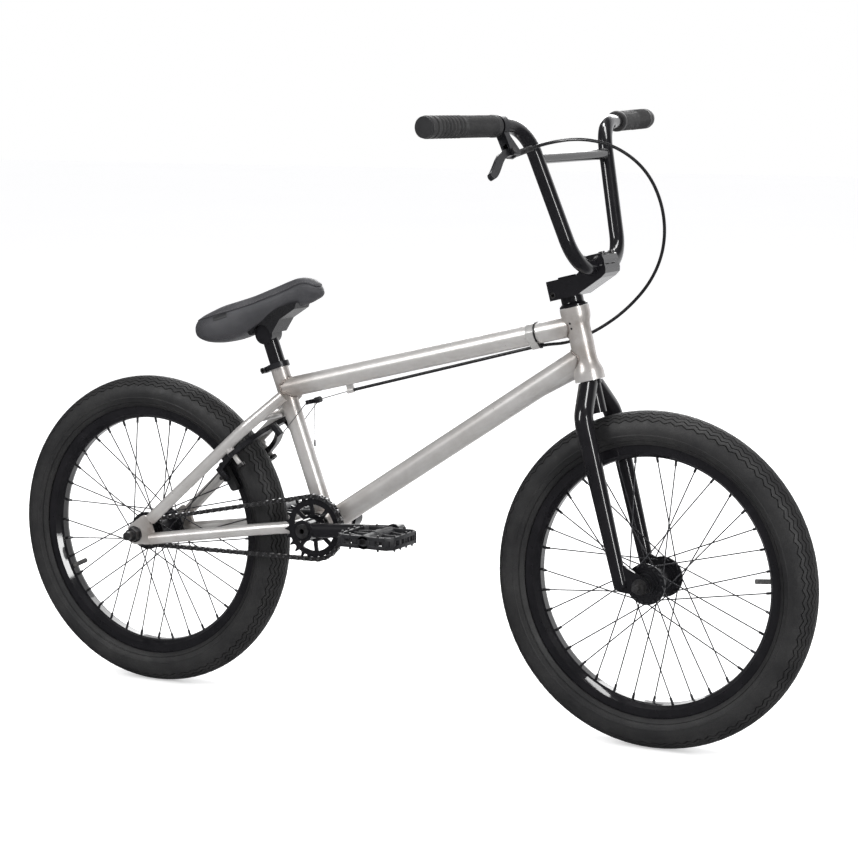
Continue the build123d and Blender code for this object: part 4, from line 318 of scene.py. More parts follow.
def build_mottle_group() -> bpy.types.NodeTree:
    """Makes the group that varies colour and roughness over a surface."""
    tree, graph, given, result = new_group(
        "surface_mottle",
        {"Vector": "Vector", "Colour": "Color", "Shade": "Color", "Scale": "Float",
         "Roughness": "Float", "Spread": "Float"},
        {"Colour": "Color", "Roughness": "Float"},
    )
    broad = graph.node("TexNoise", {"Vector": given.outputs["Vector"], "Detail": 5.0,
                                    "Scale": given.outputs["Scale"], "Roughness": 0.62})
    share = graph.node("MapRange", {"Value": broad.outputs["Fac"], "From Min": 0.32,
                                    "From Max": 0.70}).outputs[0]
    colour = graph.blend(share, given.outputs["Colour"], given.outputs["Shade"])
    fine = graph.node("TexNoise", {"Vector": given.outputs["Vector"], "Detail": 4.0,
                                   "Scale": graph.math("MULTIPLY", given.outputs["Scale"], 5.3)})
    swing = graph.math("MULTIPLY", graph.math("SUBTRACT", fine.outputs["Fac"], 0.5),
                       graph.math("MULTIPLY", given.outputs["Spread"], 3.0))
    rough = graph.math("ADD", given.outputs["Roughness"], swing, clamp=True)
    tree.links.new(colour, result.inputs["Colour"])
    tree.links.new(rough, result.inputs["Roughness"])
    return tree


def build_wear_group() -> bpy.types.NodeTree:
    """Makes the group that rubs pale or dark patches and fine scratches into a colour."""
    tree, graph, given, result = new_group(
        "rubbed_wear",
        {"Vector": "Vector", "Colour": "Color", "Worn": "Color", "Amount": "Float"},
        {"Colour": "Color"},
    )
    patches = graph.node("TexNoise", {"Vector": given.outputs["Vector"], "Scale": 19.0,
                                      "Detail": 8.0, "Roughness": 0.7})
    mask = graph.node("MapRange", {"Value": patches.outputs["Fac"], "From Min": 0.56,
                                   "From Max": 0.72}).outputs[0]
    stretched = graph.node("Mapping", {"Vector": given.outputs["Vector"],
                                       "Scale": (60.0, 900.0, 220.0),
                                       "Rotation": (0.4, 0.3, 0.9)})
    scratches = graph.node("TexNoise", {"Vector": stretched.outputs[0], "Scale": 1.0,
                                        "Detail": 2.0})
    lines = graph.node("MapRange", {"Value": scratches.outputs["Fac"], "From Min": 0.68,
                                    "From Max": 0.74}).outputs[0]
    both = graph.math("MAXIMUM", mask, graph.math("MULTIPLY", lines, 0.6))
    share = graph.math("MULTIPLY", both, given.outputs["Amount"], clamp=True)
    tree.links.new(graph.blend(share, given.outputs["Colour"], given.outputs["Worn"]),
                   result.inputs["Colour"])
    return tree


def build_dust_group() -> bpy.types.NodeTree:
    """Makes the group that lays fine pale dust on a colour."""
    tree, graph, given, result = new_group(
        "fine_dust", {"Vector": "Vector", "Colour": "Color", "Amount": "Float"},
        {"Colour": "Color"},
    )
    cloud = graph.node("TexNoise", {"Vector": given.outputs["Vector"], "Scale": 11.0,
                                    "Detail": 7.0, "Roughness": 0.75})
    speck = graph.node("TexNoise", {"Vector": given.outputs["Vector"], "Scale": 750.0,
                                    "Detail": 2.0})
    product = graph.math("MULTIPLY", cloud.outputs["Fac"], speck.outputs["Fac"])
    mask = graph.node("MapRange", {"Value": product, "From Min": 0.2, "From Max": 0.42}).outputs[0]
    share = graph.math("MULTIPLY", mask, given.outputs["Amount"], clamp=True)
    tree.links.new(graph.blend(share, given.outputs["Colour"], (0.34, 0.33, 0.31)),
                   result.inputs["Colour"])
    return tree


def build_heat_group() -> bpy.types.NodeTree:
    """Makes the group that finds how near a point lies to one welded joint."""
    tree, graph, given, result = new_group(
        "weld_heat", {"Vector": "Vector", "Joint": "Vector", "Reach": "Float"}, {"Mask": "Float"}
    )
    gap = graph.node("VectorMath", {0: given.outputs["Vector"], 1: given.outputs["Joint"]},
                     operation="DISTANCE").outputs["Value"]
    near = graph.math("SUBTRACT", 1.0, graph.math("DIVIDE", gap, given.outputs["Reach"]),
                      clamp=True)
    cloud = graph.node("TexNoise", {"Vector": given.outputs["Vector"], "Scale": 70.0,
                                    "Detail": 6.0, "Roughness": 0.7})
    mask = graph.math("MULTIPLY", near, graph.math("MULTIPLY", cloud.outputs["Fac"], 1.9),
                      clamp=True)
    tree.links.new(mask, result.inputs["Mask"])
    return tree


WELDED_JOINTS: tuple[tuple[Vector, float], ...] = (
    (TOP_TUBE_ENDS[0] + Vector((0.012, 0, 0.0)), 0.062),
    (TOP_TUBE_ENDS[1], 0.052),
    (DOWN_TUBE_ENDS[1], 0.050),
    (BRACKET + Vector((0, 0, 0.01)), 0.060),
    (REAR_AXLE + Vector((0.030, -0.058, 0.010)), 0.038),
    (REAR_AXLE + Vector((0.030, 0.058, 0.010)), 0.038),
)


class Paint:
    """Makes each finish into a material once, from the shared groups."""

    def __init__(self) -> None:
        """Builds the shared groups."""
        self.groups = {
            "mottle": build_mottle_group(),
            "wear": build_wear_group(),
            "dust": build_dust_group(),
            "heat": build_heat_group(),
        }
        self.made: dict[str, bpy.types.Material] = {}

    def placed(self, graph: Graph, name: str, inputs: dict) -> bpy.types.Node:
        """Places a shared group in a material and returns its node."""
        made = graph.node("Group", node_tree=self.groups[name])
        for key, value in inputs.items():
            if isinstance(value, bpy.types.NodeSocket):
                graph.tree.links.new(value, made.inputs[key])
            elif isinstance(value, tuple) and made.inputs[key].type == "RGBA":
                made.inputs[key].default_value = (*value, 1.0)
            else:
                made.inputs[key].default_value = value
        return made

    def height(self, graph: Graph, finish: Finish, vector) -> Optional[bpy.types.NodeSocket]:
        """Makes the height of a finish's relief.

        Args:
            graph: the material's graph.
            finish: the finish.
            vector: socket of the pattern's coordinates.

        Returns:
            The height's socket, or None on a smooth finish.
        """
        if finish.relief is Relief.SMOOTH:
            return None
        if finish.relief is Relief.LEATHER:
            cells = graph.node("TexVoronoi", {"Vector": vector, "Scale": finish.relief_scale},
                               feature="DISTANCE_TO_EDGE")
            creases = graph.node("MapRange", {"Value": cells.outputs["Distance"],
                                              "From Max": 0.16}).outputs[0]
            folds = graph.node("TexNoise", {"Vector": vector, "Scale": finish.relief_scale / 7,
                                            "Detail": 4.0})
            return graph.math("ADD", creases, graph.math("MULTIPLY", folds.outputs["Fac"], 0.8))
        if finish.relief is Relief.BRUSHED:
            drawn = graph.node("Mapping", {"Vector": vector, "Scale": (1.0, 5.0, 1.0)})
            return graph.node("TexNoise", {"Vector": drawn.outputs[0], "Detail": 5.0,
                                           "Scale": finish.relief_scale}).outputs["Fac"]
        detail = 1.0 if finish.relief is Relief.ORANGE_PEEL else 5.0
        return graph.node("TexNoise", {"Vector": vector, "Scale": finish.relief_scale,
                                       "Detail": detail}).outputs["Fac"]

    def material(self, finish: Finish) -> bpy.types.Material:
        """Makes or finds the material of a finish.

        Args:
            finish: the finish.

        Returns:
            The material.
        """
        if finish.name in self.made:
            return self.made[finish.name]
        material = bpy.data.materials.new(finish.name)
        material.use_nodes = True
        material.node_tree.nodes.clear()
        graph = Graph(material.node_tree)
        vector = graph.node("TexCoord").outputs["Object"]
        base = self.placed(graph, "mottle", {
            "Vector": vector, "Colour": finish.colour, "Shade": finish.shade,
            "Scale": finish.mottle_scale, "Roughness": finish.roughness,
            "Spread": finish.spread})
        colour = base.outputs["Colour"]
        if finish.wear > 0:
            colour = self.placed(graph, "wear", {
                "Vector": vector, "Colour": colour, "Worn": finish.worn,
                "Amount": finish.wear}).outputs["Colour"]
        if finish.dust > 0:
            colour = self.placed(graph, "dust", {
                "Vector": vector, "Colour": colour,
                "Amount": finish.dust}).outputs["Colour"]
        if finish is RAW_STEEL:
            heat = None
            for joint, reach in WELDED_JOINTS:
                mask = self.placed(graph, "heat", {"Vector": vector, "Joint": joint,
                                                   "Reach": reach}).outputs["Mask"]
                heat = mask if heat is None else graph.math("MAXIMUM", heat, mask)
            share = graph.math("MULTIPLY", heat, 0.75)
            colour = graph.blend(share, colour, (0.24, 0.19, 0.155))
        shader = graph.node("BsdfPrincipled", {
            "Base Color": colour, "Roughness": base.outputs["Roughness"],
            "Metallic": finish.metallic, "Specular IOR Level": finish.specular,
            "Coat Weight": finish.coat, "Coat Roughness": finish.coat_roughness})
        height = self.height(graph, finish, vector)
        if height is not None:
            bump = graph.node("Bump", {"Height": height, "Strength": finish.relief_depth,
                                       "Distance": 0.0005})
            graph.tree.links.new(bump.outputs[0], shader.inputs["Normal"])
        output = graph.node("OutputMaterial", {"Surface": shader.outputs[0]})
        output.target = "ALL"
        self.made[finish.name] = material
        return material


# ---------------------------------------------------------------- shaping
def body_of(node: str) -> str:
    """Names the body that a CAD node rides on."""
    return frame["nodes"][node]["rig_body"]


def finish_mesh(mesh: bpy.types.Mesh, sharp: float) -> None:
    """Shades a mesh smooth, with its sharp edges kept.

    Args:
        mesh: the mesh.
        sharp: angle in degrees past which an edge stays sharp.
    """
    mesh.polygons.foreach_set("use_smooth", [True] * len(mesh.polygons))
    mesh.set_sharp_from_angle(angle=math.radians(sharp))
    mesh.update()


def add_object(name: str, mesh: bpy.types.Mesh, material: bpy.types.Material):
    """Puts a mesh in the scene as an object with one material and returns the object."""
    mesh.materials.clear()
    mesh.materials.append(material)
    made = bpy.data.objects.new(name, mesh)
    bpy.context.scene.collection.objects.link(made)
    return made


def settle(shape: bmesh.types.BMesh, name: str, sharp: float = 35.0) -> bpy.types.Mesh:
    """Turns a finished bmesh into a mesh and frees it.

    Args:
        shape: the bmesh.
        name: the mesh's name.
        sharp: angle in degrees past which an edge stays sharp.

    Returns:
        The mesh.
    """
    mesh = bpy.data.meshes.new(name)
    shape.to_mesh(mesh)
    shape.free()
    finish_mesh(mesh, sharp)
    return mesh


def place(name: str, mesh: bpy.types.Mesh, paint: Paint, finish: Finish, body: str,
          replaced: Sequence[str] = ()) -> bpy.types.Object:
    """Adds a finished piece, sets it on its body and reports it.

    Args:
        name: the piece's name.
        mesh: its mesh, in place.
        paint: the material maker.
        finish: its finish.
        body: the body that it rides on.
        replaced: the CAD nodes that it stands for.

    Returns:
        The piece.
    """
    piece = add_object(name, mesh, paint.material(finish))
    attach(piece, body)
    if replaced:
        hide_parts(*replaced)
    LOG.info("%s rides on %s, %d faces", name, body, len(mesh.polygons))
    return piece


def turned(profile: Sequence[tuple[float, float]], centre: Vector, axis: Vector, across: Vector,
           steps: int, closed: bool = True) -> bmesh.types.BMesh:
    """Turns a profile round an axis.

    Args:
        profile: radius and distance along the axis of each point.
        centre: the point that distances are measured from.
        axis: unit direction of the axis.
        across: unit direction square to it.
        steps: how many facets go round.
        closed: whether the profile's last point joins its first.

    Returns:
        The turned shape.
    """
    shape = bmesh.new()
    points = [shape.verts.new(centre + across * r + axis * a) for r, a in profile]
    edges = [shape.edges.new(pair) for pair in zip(points, points[1:])]
    if closed:
        edges.append(shape.edges.new((points[-1], points[0])))
    bmesh.ops.spin(shape, geom=points + edges, cent=centre, axis=axis, angle=2 * math.pi,
                   steps=steps, use_merge=True)
    bmesh.ops.remove_doubles(shape, verts=shape.verts, dist=1e-6)
    bmesh.ops.recalc_face_normals(shape, faces=shape.faces)
    return shape


def gathered(parts: Sequence[bmesh.types.BMesh]) -> bmesh.types.BMesh:
    """Joins several shapes into one and frees them."""
    whole = bmesh.new()
    carrier = bpy.data.meshes.new("carrier")
    for part in parts:
        part.to_mesh(carrier)
        whole.from_mesh(carrier)
        part.free()
    bpy.data.meshes.remove(carrier)
    return whole


def stamped(template: bmesh.types.BMesh, places: Sequence[Matrix]) -> bmesh.types.BMesh:
    """Repeats a shape at several places and frees the template.

    Args:
        template: the shape, about the origin.
        places: where each copy goes.

    Returns:
        All the copies in one shape.
    """
    carrier = bpy.data.meshes.new("carrier")
    template.to_mesh(carrier)
    template.free()
    whole = bmesh.new()
    for spot in places:
        before = len(whole.verts)
        whole.from_mesh(carrier)
        whole.verts.ensure_lookup_table()
        bmesh.ops.transform(whole, matrix=spot, verts=whole.verts[before:])
    bpy.data.meshes.remove(carrier)
    return whole


def facing(origin: Vector, x_axis: Vector, z_axis: Vector) -> Matrix:
    """Makes the placement with a given origin, local x and local z."""
    z = z_axis.normalized()
    x = (x_axis - z * x_axis.dot(z)).normalized()
    turn = Matrix((x, z.cross(x), z)).transposed().to_4x4()
    return Matrix.Translation(origin) @ turn


def rod(radius: float, depth: float, segments: int, bevel: float = 0.0) -> bmesh.types.BMesh:
    """Makes a round rod about the origin along local z, with bevelled rims."""
    shape = bmesh.new()
    bmesh.ops.create_cone(shape, cap_ends=True, cap_tris=False, segments=segments,
                          radius1=radius, radius2=radius, depth=depth)
    if bevel > 0:
        rims = [e for e in shape.edges if len({round(v.co.z, 7) for v in e.verts}) == 1]
        bmesh.ops.bevel(shape, geom=rims, offset=bevel, affect="EDGES", segments=2, profile=0.5,
                        material=-1, clamp_overlap=True)
    return shape


def block(size: Vector, bevel: float) -> bmesh.types.BMesh:
    """Makes a bevelled block about the origin."""
    shape = bmesh.new()
    bmesh.ops.create_cube(shape, size=1.0)
    bmesh.ops.scale(shape, vec=size, verts=shape.verts)
    bmesh.ops.bevel(shape, geom=shape.edges[:], offset=bevel, affect="EDGES", segments=2,
                    profile=0.5, material=-1, clamp_overlap=True)
    return shape


def route_curve(name: str, points: Sequence[Vector], radius: float, smooth: bool = True,
                radii: Optional[Sequence[float]] = None, cyclic: bool = False):
    """Makes a curve object through or near some points.

    Args:
        name: the curve's name.
        points: its control points.
        radius: the tube's radius, or 0 for a bare line.
        smooth: a NURBS line if true, straight runs if not.
        radii: how thick the tube is at each point, as a share of the radius.
        cyclic: whether it closes on itself.

    Returns:
        The curve object.
    """
    data = bpy.data.curves.new(name, "CURVE")
    data.dimensions = "3D"
    data.bevel_depth = radius
    data.bevel_resolution = 3
    data.use_fill_caps = radius > 0
    data.resolution_u = 14
    spline = data.splines.new("NURBS" if smooth else "POLY")
    spline.points.add(len(points) - 1)
    for spot, point, share in zip(spline.points, points, radii or [1.0] * len(points)):
        spot.co = (*point, 1.0)
        spot.radius = share
    spline.use_cyclic_u = cyclic
    if smooth:
        spline.order_u = 3
        spline.use_endpoint_u = not cyclic
    made = bpy.data.objects.new(name, data)
    bpy.context.scene.collection.objects.link(made)
    return made


def curve_mesh(curve: bpy.types.Object) -> bpy.types.Mesh:
    """Makes a curve object's mesh and removes the curve."""
    bpy.context.view_layer.update()
    mesh = bpy.data.meshes.new_from_object(curve)
    data = curve.data
    bpy.data.objects.remove(curve)
    bpy.data.curves.remove(data)
    return mesh


def route_line(points: Sequence[Vector]) -> list[Vector]:
    """Reads the points of a route's smooth line."""
    mesh = curve_mesh(route_curve("route", points, 0.0))
    line = [v.co.copy() for v in mesh.vertices]
    bpy.data.meshes.remove(mesh)
    return line


def line_length(line: Sequence[Vector]) -> float:
    """Adds up a line's runs."""
    return sum((b - a).length for a, b in zip(line, line[1:]))


# ---------------------------------------------------------------- wheels
@dataclass
class Tyre:
    """A slick-shouldered tyre with a zigzag tread."""

    node: str
    centre: Vector
    ring: float = 0.227
    depth: float = 0.028
    half_width: float = 0.0307
    wall: float = 0.0036
    grooves: int = 9
    pitch: float = 0.0071
    groove_width: float = 0.0018
    groove_depth: float = 0.0019
    zigzag: float = 0.0023
    periods: int = 84
    bead: float = 138.0

    def point(self, angle: float, share: float) -> tuple[float, float]:
        """Gives radius and side at an angle round the section, at a share of its size."""
        return (self.ring + self.depth * share * math.cos(angle),
                self.half_width * share * math.sin(angle))

    def profile(self) -> list[tuple[float, float]]:
        """Lists the section's points, tread, sidewalls and inside."""
        mean = (self.depth + self.half_width) / 2
        cut = 1.0 - self.groove_depth / mean
        half = (self.grooves - 1) / 2
        tread = []
        for index in range(self.grooves):
            middle = (index - half) * self.pitch / mean
            edge = self.groove_width / 2 / mean
            tread += [(middle - edge, 1.0), (middle - edge * 0.35, cut),
                      (middle + edge * 0.35, cut), (middle + edge, 1.0)]
            if index < self.grooves - 1:
                tread.append((middle + self.pitch / 2 / mean, 1.004))
        shoulder = [
            (70, 1.0), (76, 1.0), (82, 1.0), (88, 1.0), (94, 1.0), (99, 1.0), (100.5, 1.018),
            (103.5, 1.018), (105, 1.0), (110, 1.0), (114, 1.0), (118, 1.0), (119, 0.962),
            (121, 0.962), (122, 1.0), (127, 1.0), (133, 1.0), (self.bead, 1.0)]
        right = [(math.radians(a), s) for a, s in shoulder]
        outside = [(-a, s) for a, s in reversed(right)] + tread + right
        thin = 1.0 - self.wall / mean
        inside = [(math.radians(a), thin) for a in range(136, -137, -16)]
        return [self.point(a, s) for a, s in outside + inside]

    def build(self, paint: Paint) -> None:
        """Turns the section and bends the grooves into a zigzag."""
        shape = turned(self.profile(), Vector(), LEFT, Vector((1, 0, 0)), self.periods * 4)
        mean = (self.depth + self.half_width) / 2
        reach = (self.grooves + 1) / 2 * self.pitch
        thin = 1.0 - self.wall / mean + 0.02
        wave = (0.0, 1.0, 0.0, -1.0)
        for vert in shape.verts:
            radius = math.hypot(vert.co.x, vert.co.z)
            rise, side = (radius - self.ring) / self.depth, vert.co.y / self.half_width
            share, angle = math.hypot(rise, side), math.atan2(side, rise)
            if share < thin or abs(angle) * mean > reach:
                continue
            turn = math.atan2(vert.co.z, vert.co.x)
            step = round(turn / (2 * math.pi) * self.periods * 4) % 4
            radius, across = self.point(angle + wave[step] * self.zigzag / mean, share)
            vert.co = Vector((math.cos(turn) * radius, across, math.sin(turn) * radius))
        bmesh.ops.translate(shape, vec=self.centre, verts=shape.verts)
        bmesh.ops.recalc_face_normals(shape, faces=shape.faces)
        place(f"{self.node}_tread", settle(shape, self.node, 24.0), paint, TYRE_RUBBER,
              body_of(self.node), [self.node])


# ---------------------------------------------------------------- drive
@dataclass
class Chain:
    """A roller chain on its sprocket and driver."""

    teeth: int = 25
    driver_teeth: int = 9
    pitch: float = 0.0127
    run_links: int = 26
    distance: float = 0.33496538
    line: float = -0.0435
    roller: float = 0.00385
    plate_height: float = 0.0041
    plate_thickness: float = 0.0011
    inner_side: float = 0.0024
    outer_side: float = 0.0036
    pin: float = 0.0018
    pin_half: float = 0.0056

    def spots(self) -> list[Vector]:
        """Lists the pins' places in order round the loop."""
        ring, small = (self.pitch / (2 * math.sin(math.pi / n))
                       for n in (self.teeth, self.driver_teeth))
        front, back = 7, 2
        wrap, turn = front * 2 * math.pi / self.teeth, back * 2 * math.pi / self.driver_teeth
        places = []
        for index in range(-front, front + 1):
            angle = index * 2 * math.pi / self.teeth
            places.append((self.distance + ring * math.cos(angle), ring * math.sin(angle)))
        ahead = (self.distance + ring * math.cos(wrap), ring * math.sin(wrap))
        behind = (-small * math.cos(turn), small * math.sin(turn))
        run = [(ahead[0] + (behind[0] - ahead[0]) * i / self.run_links,
                ahead[1] + (behind[1] - ahead[1]) * i / self.run_links)
               for i in range(1, self.run_links)]
        places += run
        for index in range(-back, back + 1):
            angle = math.pi + index * 2 * math.pi / self.driver_teeth
            places.append((small * math.cos(angle), small * math.sin(angle)))
        places += [(x, -y) for x, y in reversed(run)]
        return [REAR_AXLE + DRIVE_LINE * x + DRIVE_UP * y + LEFT * self.line for x, y in places]

    def plate(self) -> bmesh.types.BMesh:
        """Makes one waisted link plate in the local x-y plane."""
        shape = bmesh.new()
        bmesh.ops.create_circle(shape, cap_ends=True, segments=20, radius=self.plate_height)
        for vert in shape.verts:
            if abs(vert.co.x) < self.plate_height * 0.35:
                vert.co.y *= 0.72
            else:
                vert.co.x += math.copysign(self.pitch / 2, vert.co.x)
        grown = bmesh.ops.extrude_face_region(shape, geom=shape.faces[:])
        lifted = [v for v in grown["geom"] if isinstance(v, bmesh.types.BMVert)]
        bmesh.ops.translate(shape, vec=(0, 0, self.plate_thickness), verts=lifted)
        bmesh.ops.translate(shape, vec=(0, 0, -self.plate_thickness / 2), verts=shape.verts)
        bmesh.ops.recalc_face_normals(shape, faces=shape.faces)
        return shape

    def build(self, paint: Paint) -> None:
        """Lays plates, rollers and pins round the loop."""
        spots = self.spots()
        plates, rollers, pins = [], [], []
        for index, (here, there) in enumerate(zip(spots, spots[1:] + spots[:1])):
            side = self.outer_side if index % 2 else self.inner_side
            for face in (-1, 1):
                offset = LEFT * face * (side + self.plate_thickness / 2)
                plates.append(facing((here + there) / 2 + offset, there - here, LEFT))
            rollers.append(facing(here, DRIVE_LINE, LEFT))
            pins.append(facing(here, DRIVE_LINE, LEFT))
        body = body_of("chain")
        links = settle(stamped(self.plate(), plates), "chain_plates")
        piece = place("chain_link_plates", links, paint, DARK_STEEL, body, ["chain"])
        barrels = rod(self.roller, 2 * self.inner_side, 14)
        place("chain_rollers", settle(stamped(barrels, rollers), "chain_rollers"), paint,
              CHAIN_BRIGHT, body)
        heads = rod(self.pin, 2 * self.pin_half, 10)
        place("chain_pins", settle(stamped(heads, pins), "chain_pins"), paint, CHAIN_BRIGHT, body)
        LOG.info("%s has %d links", piece.name, len(spots))


@dataclass
class Pedal:
    """A moulded platform pedal: an outer frame, a barrel, ribs and pins."""

    word: str
    side: int
    axle: Vector
    length: float = 0.096
    width: float = 0.088
    depth: float = 0.019
    corner: float = 0.009
    rail: float = 0.0058
    plate: float = 0.0062
    barrel: float = 0.0108
    bore: float = 0.0062
    pin: float = 0.0017
    pin_half: float = 0.0125
    edge_bevel: float = 0.0007
    post: float = 0.0045
    end_posts: tuple = (-0.030, -0.015, 0.0, 0.015, 0.030)
    side_posts: tuple = ((-0.038, 0.012), (-0.0155, 0.009), (0.0155, 0.009), (0.038, 0.012))
    rib_size: Vector = Vector((0.034, 0.0042, 0.0125))
    rib_row: float = 0.0255
    rib_slants: tuple = ((-0.020, 0.42), (0.020, -0.42), (0.0, 0.0))

    def rim(self) -> list[bmesh.types.BMesh]:
        """Makes the outer frame: rails above and below windows, posts and cut corners."""
        end, edge = self.length / 2 - self.plate / 2, self.width / 2 - self.plate / 2
        level = self.depth / 2 - self.rail / 2
        inside = self.depth - 1.4 * self.rail
        spots = [((end, 0, level), (self.plate, self.width - 2 * self.corner, self.rail)),
                 ((end, 0, -level), (self.plate, self.width - 2 * self.corner, self.rail)),
                 ((0, edge, level), (self.length - 2 * self.corner, self.plate, self.rail)),
                 ((0, edge, -level), (self.length - 2 * self.corner, self.plate, self.rail))]
        spots += [((end, across, 0), (self.plate * 0.85, self.post, inside))
                  for across in self.end_posts]
        spots += [((along, edge, 0), (wide, self.plate * 0.85, inside))
                  for along, wide in self.side_posts]
        made = []
        for flip in (1, -1):
            for middle, size in spots:
                bar = block(Vector(size), self.edge_bevel)
                bmesh.ops.translate(bar, vec=Vector(middle) * flip, verts=bar.verts)
                made.append(bar)
            for side in (1, -1):
                cut = block(Vector((self.plate, self.corner * 1.75, self.depth)),
                            self.edge_bevel)
                turn = Matrix.Translation((flip * (end - self.corner / 2.4),
                                           side * (edge - self.corner / 2.4), 0))
                turn = turn @ Matrix.Rotation(math.radians(45.0) * flip * side, 4, "Z")
                bmesh.ops.transform(cut, matrix=turn, verts=cut.verts)
                made.append(cut)
        return made

    def spindle_barrel(self) -> bmesh.types.BMesh:
        """Turns the barrel that holds the spindle."""
        half = self.width / 2
        r, b = self.barrel, self.bore
        profile = [(b, -half), (r - 0.001, -half), (r, -half + 0.001), (r, -0.012),
                   (r + 0.0015, -0.010), (r + 0.0015, 0.010), (r, 0.012), (r, half - 0.001),
                   (r - 0.001, half), (b, half)]
        return turned(profile, Vector(), LEFT, UP, 32)

    def ribs(self) -> list[bmesh.types.BMesh]:
        """Makes the ribs between the barrel and the frame."""
        made = []
        for row in (-1, 1):
            for spot, slant in self.rib_slants:
                rib = block(self.rib_size, self.edge_bevel)
                turn = Matrix.Translation((row * self.rib_row, spot, 0))
                turn = turn @ Matrix.Rotation(slant * row, 4, "Z")
                bmesh.ops.transform(rib, matrix=turn, verts=rib.verts)
                made.append(rib)
        return made

    def pins(self) -> bmesh.types.BMesh:
        """Sets the pins along the frame's rails."""
        along = self.length / 2 - self.plate / 2
        across = self.width / 2 - self.plate / 2
        spots = [(x, y) for x in (-along, along) for y in (-0.027, -0.009, 0.009, 0.027)]
        spots += [(x, y) for x in (-0.024, 0.024) for y in (-across, across)]
        pin = rod(self.pin, 2 * self.pin_half, 10)
        return stamped(pin, [Matrix.Translation((x, y, 0)) for x, y in spots])

    def build(self, paint: Paint) -> None:
        """Assembles the pedal on its spindle."""
        middle = self.axle + LEFT * self.side * self.width / 2
        node = f"{self.word}_pedal"
        body = gathered([*self.rim(), self.spindle_barrel(), *self.ribs()])
        bmesh.ops.translate(body, vec=middle, verts=body.verts)
        place(f"{node}_platform", settle(body, node), paint, PEDAL_PLASTIC, node, [node])
        pins = self.pins()
        bmesh.ops.translate(pins, vec=middle, verts=pins.verts)
        place(f"{node}_pins", settle(pins, f"{node}_pins"), paint, DARK_STEEL, node)


PEDAL_SHOULDERS: tuple[tuple[str, int, Vector], ...] = (
    ("right", -1, Vector((0.0532687, -0.0955, 0.3068165))),
    ("left", 1, Vector((-0.2854375, 0.0955, 0.2771835))),
)


